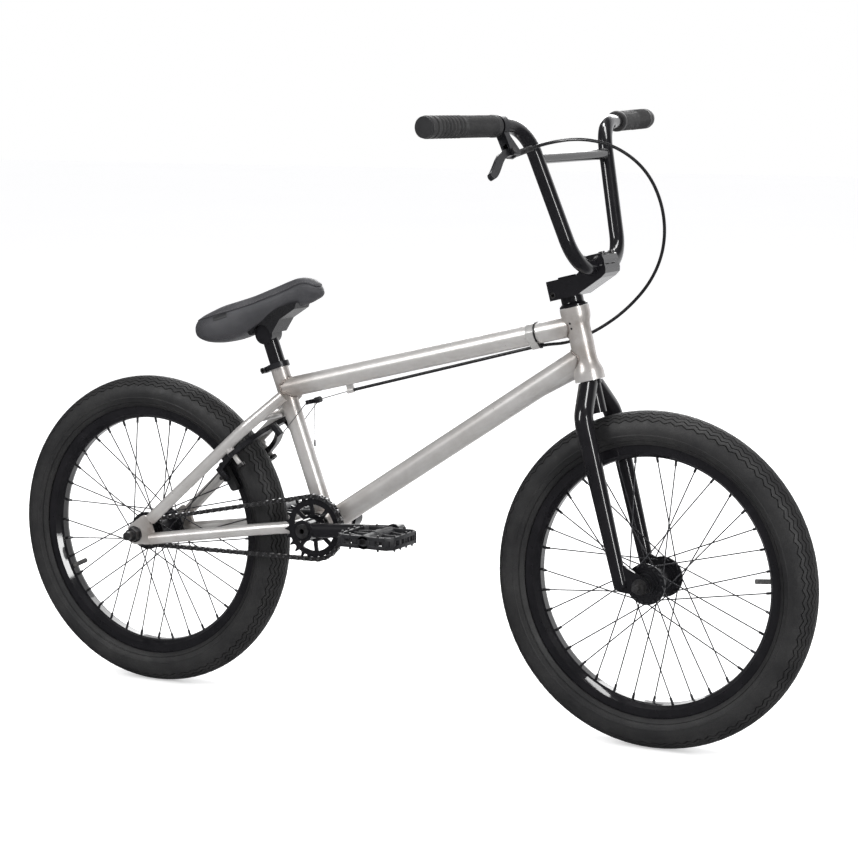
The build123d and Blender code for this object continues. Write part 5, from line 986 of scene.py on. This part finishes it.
# ---------------------------------------------------------------- seat
@dataclass
class Seat:
    """A slim padded seat on a ribbed shell."""

    tail: Vector = Vector((-0.34737, 0, 0.61603))
    stations: int = 30
    ring: int = 40
    settle_frames: int = 20
    swell_limit: float = 0.005
    slim: float = 0.965
    voxel: float = 0.0045
    pressure: float = 4.0
    seam_reach: float = 0.004
    seam_depth: float = 0.0012
    stitch: float = 0.0042
    seam_angle: float = math.radians(43)
    seam_stations: tuple = (4, 12, 22, 34, 48, 64, 80, 96, 112, 128, 144, 160, 174, 188, 200,
                            210, 217)
    top: tuple = ((-3, -15), (0, -7), (6, -2), (14, 1.5), (50, 14), (102, 30), (150, 50),
                  (187, 66), (203, 67.5), (216, 62), (224, 50), (228, 42))
    under: tuple = ((-3, -22), (1, -33), (8, -40), (30, -44), (54, -42), (80, -30),
                    (107, -11), (150, 11), (190, 27), (212, 33), (223, 36), (228, 39))
    width: tuple = ((-3, 12), (0, 28), (6, 42), (14, 51), (30, 60), (50, 63.5), (80, 57),
                    (125, 36), (165, 25.5), (205, 21.5), (218, 17), (228, 6))

    @staticmethod
    def read(table: Sequence[tuple[float, float]], x: float) -> float:
        """Reads a table of lengths in millimetres at a place along the seat."""
        for (x0, y0), (x1, y1) in zip(table, table[1:]):
            if x <= x1:
                share = min(max((x - x0) / (x1 - x0), 0.0), 1.0)
                return y0 + (y1 - y0) * share
        return table[-1][1]

    def section(self, x: float, angle: float) -> Vector:
        """Gives a point of the pad's surface, before it swells.

        Args:
            x: distance from the tail in millimetres.
            angle: angle round the section, with the top at a right angle.

        Returns:
            The point, in metres.
        """
        top, under, width = (self.read(t, x) for t in (self.top, self.under, self.width))
        middle, half = (top + under) / 2, (top - under) / 2
        c, s = math.cos(angle), math.sin(angle)
        side = math.copysign(abs(c) ** 0.62, c) * width
        rise = math.copysign(abs(s) ** 0.62, s) * half
        side *= 1.0 - 0.17 * max(s, 0.0) ** 0.8 - 0.10 * max(-s, 0.0) ** 1.5
        rise -= half * 0.10 * max(s, 0.0) * (abs(c) ** 2)
        return self.tail + Vector((x, side * self.slim, middle + rise * self.slim)) / 1000

    def blank(self) -> bpy.types.Mesh:
        """Lofts the pad's blank through rings along its length."""
        shape = bmesh.new()
        previous = None
        for index in range(self.stations):
            share = index / (self.stations - 1)
            x = -3 + 231 * (0.5 - 0.5 * math.cos(math.pi * share))
            ring = bmesh.ops.create_circle(shape, segments=self.ring, radius=1.0,
                                           cap_ends=index in (0, self.stations - 1))
            for vert in ring["verts"]:
                vert.co = self.section(x, math.atan2(vert.co.y, vert.co.x))
            edges = list({e for v in ring["verts"] for e in v.link_edges
                          if all(w in ring["verts"] for w in e.verts)})
            if previous:
                bmesh.ops.bridge_loops(shape, edges=previous + edges)
            previous = edges
        bmesh.ops.recalc_face_normals(shape, faces=shape.faces)
        return settle(shape, "seat_blank")

    def swell(self, pad: bpy.types.Object) -> None:
        """Remeshes the blank, blows it up as cloth and keeps the swelling within its limit."""
        remesh = pad.modifiers.new("voxels", "REMESH")
        remesh.mode = "VOXEL"
        remesh.voxel_size = self.voxel
        bake(pad)
        start = [v.co.copy() for v in pad.data.vertices]
        cloth = pad.modifiers.new("swelling", "CLOTH")
        cloth.settings.use_pressure = True
        cloth.settings.uniform_pressure_force = self.pressure
        cloth.settings.effector_weights.gravity = 0.0
        cloth.settings.quality = 5
        scene = bpy.context.scene
        for number in range(1, self.settle_frames + 1):
            scene.frame_set(number)
        bake(pad)
        scene.frame_set(1)
        for vert, was in zip(pad.data.vertices, start):
            move = vert.co - was
            if move.length > self.swell_limit:
                vert.co = was + move.normalized() * self.swell_limit
        smooth = pad.modifiers.new("rounding", "CORRECTIVE_SMOOTH")
        smooth.factor = 0.5
        smooth.iterations = 6
        smooth.use_only_smooth = True
        finer = pad.modifiers.new("finer", "SUBSURF")
        finer.levels = finer.render_levels = 1
        bake(pad)

    def seam_spot(self, tree: BVHTree, x: float, side: int, angle: float) -> Vector:
        """Finds the seam's point on the pad at one place along it."""
        top, under = self.read(self.top, x), self.read(self.under, x)
        origin = self.tail + Vector((x, 0, (top + under) / 2)) / 1000
        heading = Vector((0, side * math.cos(angle), math.sin(angle)))
        half = Vector((0, self.read(self.width, x), (top - under) / 2))
        heading = Vector((0, heading.y * half.y, heading.z * half.z)).normalized()
        hit = tree.ray_cast(origin, heading)[0]
        return hit if hit is not None else origin

    def seam(self, tree: BVHTree) -> list[Vector]:
        """Follows the seam between the top panel and the side panel once round."""
        near, far = ([self.seam_spot(tree, x, side, self.seam_angle)
                      for x in self.seam_stations] for side in (-1, 1))
        return near + far[::-1]

    def build(self, paint: Paint) -> None:
        """Builds the pad, its seam, its stitches and the blank tag."""
        pad = place("seat_pad", self.blank(), paint, LEATHERETTE, "seat", ["seat_cover"])
        self.swell(pad)
        tree = BVHTree.FromObject(pad, bpy.context.evaluated_depsgraph_get())
        seam = self.seam(tree)
        line = curve_mesh(route_curve("seam_line", seam, 0.0, cyclic=True))
        path = [v.co.copy() for v in line.vertices]
        bpy.data.meshes.remove(line)
        path = [tree.find_nearest(p)[0] for p in path]
        for vert in pad.data.vertices:
            gap = min((vert.co - p).length_squared for p in path) ** 0.5
            if gap < self.seam_reach:
                vert.co -= vert.normal * self.seam_depth * (1 - gap / self.seam_reach) ** 2
        finish_mesh(pad.data, 60.0)
        piping = curve_mesh(route_curve("seat_piping", path, 0.0008, smooth=False, cyclic=True))
        finish_mesh(piping, 60.0)
        place("seat_piping", piping, paint, LEATHERETTE, "seat")
        self.stitches(tree, path, paint)
        self.tag(tree, paint)

    def stitches(self, tree: BVHTree, path: Sequence[Vector], paint: Paint) -> None:
        """Sews a row of stitches beside the seam."""
        spots, gone = [], 0.0
        for here, there in zip(path, path[1:]):
            gone += (there - here).length
            if gone < self.stitch:
                continue
            gone = 0.0
            point, normal, _, _ = tree.find_nearest(here + Vector((0, 0, 0.0026)))
            spots.append(facing(point + normal * 0.00015, there - here, normal))
        thread = block(Vector((0.0030, 0.0007, 0.0007)), 0.0002)
        place("seat_stitches", settle(stamped(thread, spots), "seat_stitches"), paint, THREAD,
              "seat")

    def tag(self, tree: BVHTree, paint: Paint) -> None:
        """Lays a small plain tag on the right side, under the seam."""
        shape = bmesh.new()
        bmesh.ops.create_grid(shape, x_segments=12, y_segments=5, size=0.5)
        origin = self.seam_spot(tree, 62, -1, math.radians(30))
        ahead = (self.seam_spot(tree, 84, -1, math.radians(30)) - origin).normalized()
        _, normal, _, _ = tree.find_nearest(origin)
        above = normal.cross(ahead).normalized()
        if above.z < 0:
            above = -above
        for vert in shape.verts:
            spot = origin + ahead * vert.co.x * 0.024 + above * vert.co.y * 0.0085
            point, out, _, _ = tree.find_nearest(spot)
            vert.co = point + out * 0.0004
        bmesh.ops.recalc_face_normals(shape, faces=shape.faces)
        if sum((f.normal.y for f in shape.faces)) > 0:
            bmesh.ops.reverse_faces(shape, faces=shape.faces)
        bmesh.ops.solidify(shape, geom=shape.faces[:], thickness=-0.0006)
        bmesh.ops.recalc_face_normals(shape, faces=shape.faces)
        place("seat_tag", settle(shape, "seat_tag"), paint, CAP_PLASTIC, "seat")


def bake(piece: bpy.types.Object) -> None:
    """Applies every modifier of a piece to its mesh."""
    shown = piece.evaluated_get(bpy.context.evaluated_depsgraph_get())
    mesh = bpy.data.meshes.new_from_object(shown)
    materials = [m for m in piece.data.materials]
    piece.modifiers.clear()
    piece.data = mesh
    mesh.materials.clear()
    for material in materials:
        mesh.materials.append(material)


# ---------------------------------------------------------------- bars
@dataclass
class Grips:
    """Rubber grips with coarse ribs outside and fine ribs inside."""

    length: float = 0.166
    radius: float = 0.0160
    bore: float = 0.0111
    groove: float = 0.0013
    coarse: float = 0.0085
    fine: float = 0.0028
    coarse_from: float = 0.0225
    coarse_to: float = 0.082
    bar_end: Vector = Vector((0.262124, 0.371, 0.9300431))
    outward: Vector = Vector((-0.1379, 0.9904, 0.0084))

    def profile(self) -> list[tuple[float, float]]:
        """Lists the grip's section from its outer end inwards."""
        r, out = self.radius, []
        out += [(self.bore, 0.0), (r - 0.0014, 0.0), (r, 0.0016), (r, 0.0085),
                (r - 0.0016, 0.0095), (r - 0.0016, 0.0115), (r, 0.0125), (r, 0.0190),
                (r - 0.0016, 0.0200)]
        place_now = self.coarse_from
        while place_now < self.coarse_to:
            out += [(r - self.groove * 1.9, place_now), (r - 0.0006, place_now + 0.0014),
                    (r, place_now + 0.0030), (r - 0.0006, place_now + self.coarse - 0.0040),
                    (r - self.groove * 1.9, place_now + self.coarse - 0.0026)]
            place_now += self.coarse
        while place_now < self.length - 0.016:
            out += [(r - 0.0012, place_now), (r - 0.0004, place_now + 0.0007),
                    (r - 0.0004, place_now + self.fine - 0.0013),
                    (r - 0.0012, place_now + self.fine - 0.0006)]
            place_now += self.fine
        end = self.length
        out += [(r - 0.0010, end - 0.0120), (r + 0.0001, end - 0.0100), (r + 0.0001, end - 0.0020),
                (r - 0.0016, end), (self.bore, end)]
        return out

    def build(self, paint: Paint) -> None:
        """Turns both grips."""
        parts = []
        for side in (-1, 1):
            sided = Vector((1, side, 1))
            end, inward = self.bar_end * sided, -(self.outward * sided).normalized()
            across = inward.cross(UP).normalized()
            parts.append(turned(self.profile(), end, inward, across, 56))
        place("ribbed_grips", settle(gathered(parts), "grips", 28.0), paint, GRIP_RUBBER,
              "steering", ["grips"])


@dataclass
class CableBand:
    """A flat band round the top tube and the brake housing beneath it."""

    name: str
    behind_head: float
    width: float
    thickness: float
    finish: Finish
    tube: float = 0.0162
    bulge: float = 0.0060
    spread: float = 0.30

    def build(self, paint: Paint) -> None:
        """Wraps the band round tube and housing."""
        heading = (TOP_TUBE_ENDS[1] - TOP_TUBE_ENDS[0]).normalized()
        spot = TOP_TUBE_ENDS[1] - heading * self.behind_head
        shape = bmesh.new()
        ring = bmesh.ops.create_circle(shape, segments=72, radius=self.tube)
        for vert in ring["verts"]:
            gap = abs(math.atan2(vert.co.x, -vert.co.y))
            vert.co *= 1.0 + self.bulge / self.tube * math.exp(-((gap / self.spread) ** 2))
        grown = bmesh.ops.extrude_edge_only(shape, edges=shape.edges[:])
        lifted = [v for v in grown["geom"] if isinstance(v, bmesh.types.BMVert)]
        bmesh.ops.translate(shape, vec=(0, 0, self.width), verts=lifted)
        bmesh.ops.recalc_face_normals(shape, faces=shape.faces)
        if shape.faces[:][0].normal.dot(shape.faces[:][0].calc_center_median()) < 0:
            bmesh.ops.reverse_faces(shape, faces=shape.faces)
        bmesh.ops.solidify(shape, geom=shape.faces[:], thickness=-self.thickness)
        bmesh.ops.recalc_face_normals(shape, faces=shape.faces)
        bmesh.ops.transform(shape, matrix=facing(spot, LEFT, heading), verts=shape.verts)
        place(self.name, settle(shape, self.name), paint, self.finish, "frame")


@dataclass
class BrakeHousing:
    """The brake cable's outer housing, from the lever down to the top tube."""

    radius: float = 0.0025
    length: float = 0.595
    route: tuple = (
        (0.31873, -0.15954, 0.89703), (0.32839, -0.13200, 0.90424), (0.368, -0.096, 0.911),
        (0.406, -0.054, 0.898), (0.437, -0.016, 0.862), (0.451, 0.011, 0.808),
        (0.447, 0.027, 0.750), (0.422, 0.037, 0.697), (0.381, 0.037, 0.652),
        (0.336, 0.032, 0.620), (0.296, 0.015, 0.601), (0.26568, 0.0, 0.59878),
        (0.24635, 0.0, 0.59362))

    def build(self, paint: Paint) -> None:
        """Lays the housing along its route."""
        points = [Vector(p) for p in self.route]
        line = route_line(points)
        mesh = curve_mesh(route_curve("housing", points, self.radius))
        finish_mesh(mesh, 60.0)
        piece = add_object("brake_housing_loop", mesh, paint.material(HOUSING))
        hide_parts("brake_cable_loop")
        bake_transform(piece)
        LOG.info("%s is %.4f m long", piece.name, line_length(line))


@dataclass
class HeadTubeHoles:
    """Threaded blind holes for the cable plate, on both sides of the head tube, drawn as flat dark
    discs of painted shade.
    """

    radius: float = 0.0017
    heights: tuple = (0.3925, 0.3845)
    behind: float = 0.0035

    def build(self, paint: Paint) -> None:
        """Sets a flat dark disc on the tube at each hole, painted shade standing in for the hole's
        depth.
        """
        tube = frame["nodes"]["head_tube"]
        tree = BVHTree.FromObject(tube, bpy.context.evaluated_depsgraph_get())
        spots = []
        for side in (-1, 1):
            for height in self.heights:
                axis_point = STEER_FOOT + STEER_UP * height - STEER_AHEAD * self.behind
                hit, normal, _, _ = tree.ray_cast(axis_point + LEFT * side * 0.06, LEFT * -side)
                spots.append(facing(hit + normal * 0.0001, STEER_UP, normal))
        # Painted shade: no hole is cut; a thin dark disc on the tube's surface stands in for the
        # shadowed inside of each hole.
        shape = stamped(rod(self.radius, 0.0006, 16), spots)
        place("head_tube_hole_shade", settle(shape, "head_tube_hole_shade"), paint, CAP_PLASTIC,
              "frame")


# ---------------------------------------------------------------- welds
@dataclass
class Weld:
    """A ripple-topped bead where one round tube meets another."""

    start: Vector
    heading: Vector
    radius: float
    other: Vector
    other_axis: Vector
    other_radius: float
    bead: float = 0.0019

    def path(self, count: int = 72) -> list[Vector]:
        """Follows the line where the two tubes meet."""
        ahead = self.heading.normalized()
        axis = self.other_axis.normalized()
        u = ahead.orthogonal().normalized()
        v = ahead.cross(u)
        line = []
        for index in range(count):
            turn = 2 * math.pi * index / count
            base = self.start + (u * math.cos(turn) + v * math.sin(turn)) * self.radius
            gap = base - self.other
            flat = gap - axis * gap.dot(axis)
            run = ahead - axis * ahead.dot(axis)
            a, b = run.dot(run), 2 * flat.dot(run)
            c = flat.dot(flat) - self.other_radius**2
            inside = max(b * b - 4 * a * c, 0.0)
            line.append(base + ahead * (-b + math.sqrt(inside)) / (2 * a))
        return line

    def bead_mesh(self, name: str) -> bpy.types.Mesh:
        """Makes the bead as a rippled ring."""
        line = self.path()
        finer = []
        for here, there in zip(line, line[1:] + line[:1]):
            finer += [here, (here + there) / 2]
        ripple = [1.0 + 0.16 * math.sin(i * math.pi / 2.0) + 0.05 * math.sin(i * 0.37)
                  for i in range(len(finer))]
        curve = route_curve(name, finer, self.bead, smooth=False, radii=ripple, cyclic=True)
        curve.data.bevel_resolution = 2
        mesh = curve_mesh(curve)
        finish_mesh(mesh, 80.0)
        return mesh


@dataclass
class Welds:
    """All the weld beads of the frame and the bars."""

    bar_half_foot: float = 0.076
    bar_rise: float = 0.216
    bar_splay: float = 0.058
    crossbar_rise: float = 0.167

    def frame_welds(self) -> dict[str, Weld]:
        """Lists the frame's welds."""
        top = TOP_TUBE_ENDS[1] - TOP_TUBE_ENDS[0]
        down = DOWN_TUBE_ENDS[1] - DOWN_TUBE_ENDS[0]
        steer = (STEER_FOOT, STEER_UP)
        return {
            "top_tube_front_weld": Weld(TOP_TUBE_ENDS[1], -top, TOP_TUBE_RADIUS, *steer,
                                        HEAD_TUBE_RADIUS),
            "down_tube_front_weld": Weld(DOWN_TUBE_ENDS[1], -down, DOWN_TUBE_RADIUS, *steer,
                                         HEAD_TUBE_RADIUS),
            "top_tube_rear_weld": Weld(TOP_TUBE_ENDS[0], top, TOP_TUBE_RADIUS, BRACKET, SEAT_UP,
                                       SEAT_TUBE_RADIUS),
            "down_tube_rear_weld": Weld(BRACKET, down, DOWN_TUBE_RADIUS, BRACKET, LEFT,
                                        SHELL_RADIUS),
            "seat_tube_foot_weld": Weld(BRACKET, SEAT_UP, SEAT_TUBE_RADIUS, BRACKET, LEFT,
                                        SHELL_RADIUS),
            **{f"{word}_chain_stay_weld": Weld(
                BRACKET + LEFT * side * 0.0185,
                Vector((-0.10792, side * 0.0255, -0.0122)), 0.0095, BRACKET, LEFT,
                SHELL_RADIUS, 0.0014)
               for word, side in (("right", -1), ("left", 1))},
        }

    def build(self, paint: Paint) -> None:
        """Lays every bead."""
        for name, weld in self.frame_welds().items():
            place(name, weld.bead_mesh(name), paint, WELD_STEEL, "frame")
        for name, weld in self.bar_welds().items():
            place(name, weld.bead_mesh(name), paint, GLOSS_BLACK, "steering")

    def bar_welds(self) -> dict[str, Weld]:
        """Lists the welds of the crossbar on the bars."""
        welds = {}
        for word, side in (("right", -1), ("left", 1)):
            foot = BAR_CLAMP + LEFT * side * self.bar_half_foot
            upright = BAR_LEAN * self.bar_rise + LEFT * side * self.bar_splay
            start = foot + upright * (self.crossbar_rise / self.bar_rise)
            welds[f"crossbar_{word}_weld"] = Weld(start, LEFT * -side, 0.008, foot, upright,
                                                  0.0111, 0.0013)
        return welds


# ---------------------------------------------------------------- studio
@dataclass
class Studio:
    """A plain pale floor, soft lights and the camera."""

    camera_spot: Vector = Vector((1.87907, -3.33698, 1.00183))
    back: Vector = Vector((0.47249, -0.86985, 0.14194))
    lens: float = 103.8
    floor_size: float = 40.0

    def light(self, name: str, spot: Vector, target: Vector, size: tuple[float, float],
              power: float) -> None:
        """Hangs one soft area light.

        Args:
            name: its name.
            spot: where it hangs.
            target: what it faces.
            size: its width and height.
            power: its power in watts.
        """
        data = bpy.data.lights.new(name, "AREA")
        data.shape = "RECTANGLE"
        data.size, data.size_y = size
        data.energy = power
        made = bpy.data.objects.new(name, data)
        made.location = spot
        made.rotation_euler = (spot - target).to_track_quat("Z", "Y").to_euler()
        bpy.context.scene.collection.objects.link(made)

    def world(self) -> None:
        """Sets the even pale surroundings."""
        world = bpy.data.worlds.new("studio")
        bpy.context.scene.world = world
        world.use_nodes = True
        world.node_tree.nodes.clear()
        graph = Graph(world.node_tree)
        rays = graph.node("LightPath").outputs
        toward = graph.node("SeparateXYZ", {0: graph.node("TexCoord").outputs["Generated"]})
        behind = graph.node("MapRange", {"Value": toward.outputs["Y"], "From Min": 0.62,
                                         "From Max": 0.84}).outputs[0]
        mirrored = graph.blend(behind, (0.08, 0.08, 0.085), (0.90, 0.90, 0.91))
        soft = graph.blend(rays["Is Glossy Ray"], (0.60, 0.60, 0.61), mirrored)
        colour = graph.blend(rays["Is Camera Ray"], soft, (1.0, 1.0, 1.0))
        shine = graph.node("Background", {"Color": colour, "Strength": 1.0})
        graph.node("OutputWorld", {"Surface": shine.outputs[0]})

    def floor(self) -> None:
        """Lays the floor."""
        shape = bmesh.new()
        bmesh.ops.create_grid(shape, x_segments=8, y_segments=8, size=self.floor_size / 2)
        mesh = settle(shape, "floor")
        material = bpy.data.materials.new("floor_paper")
        material.use_nodes = True
        material.node_tree.nodes.clear()
        graph = Graph(material.node_tree)
        vector = graph.node("TexCoord").outputs["Object"]
        cloud = graph.node("TexNoise", {"Vector": vector, "Scale": 0.7, "Detail": 3.0})
        colour = graph.blend(cloud.outputs["Fac"], (0.93, 0.93, 0.93), (0.90, 0.90, 0.90))
        shader = graph.node("BsdfPrincipled", {
            "Base Color": colour, "Roughness": 0.9, "Specular IOR Level": 0.1,
            "Emission Color": (1.0, 1.0, 1.0, 1.0), "Emission Strength": 0.45})
        graph.node("OutputMaterial", {"Surface": shader.outputs[0]})
        paper = add_object("studio_floor", mesh, material)
        paper.visible_glossy = False

    def build(self) -> None:
        """Sets up the whole studio."""
        self.world()
        self.floor()
        middle = Vector((0, 0, 0.5))
        self.light("key", Vector((-1.8, -3.0, 2.8)), middle, (0.7, 2.4), 75)
        self.light("fill", Vector((3.2, -1.6, 1.6)), middle, (0.36, 2.8), 60)
        self.light("top", Vector((0.1, 0.2, 3.4)), middle, (3.4, 0.5), 70)
        self.light("rim", Vector((-1.0, 3.2, 2.0)), middle, (2.6, 1.6), 45)
        data = bpy.data.cameras.new("camera")
        data.lens = self.lens
        data.sensor_width = 36.0
        data.clip_end = 200.0
        camera = bpy.data.objects.new("camera", data)
        camera.location = self.camera_spot
        camera.rotation_euler = self.back.to_track_quat("Z", "Y").to_euler()
        bpy.context.scene.collection.objects.link(camera)
        bpy.context.scene.camera = camera
        bpy.context.scene.view_settings.view_transform = "Standard"


def dress_nodes(paint: Paint) -> None:
    """Gives every CAD node its finish."""
    for name, node in frame["nodes"].items():
        material = paint.material(NODE_FINISHES[name])
        if not node.material_slots:
            node.data.materials.append(material)
        for slot in node.material_slots:
            slot.material = material
        LOG.info("%s wears %s", name, material.name)


def main() -> None:
    """Builds the bicycle's looks, piece by piece."""
    logging.basicConfig(level=logging.INFO, format="%(name)s: %(message)s")
    paint = Paint()
    Studio().build()
    dress_nodes(paint)
    BrakeHousing().build(paint)
    for node, centre in (("front_tyre", FRONT_AXLE), ("rear_tyre", REAR_AXLE)):
        Tyre(node, centre).build(paint)
    CableBand("cable_band", 0.082, 0.0150, 0.0006, CLEAR_BAND).build(paint)
    CableBand("cable_tie", 0.0685, 0.0026, 0.0011, CAP_PLASTIC).build(paint)
    Chain().build(paint)
    for word, side, shoulder in PEDAL_SHOULDERS:
        Pedal(word, side, shoulder).build(paint)
    Grips().build(paint)
    HeadTubeHoles().build(paint)
    Seat().build(paint)
    Welds().build(paint)


if __name__ == "__main__":
    main()
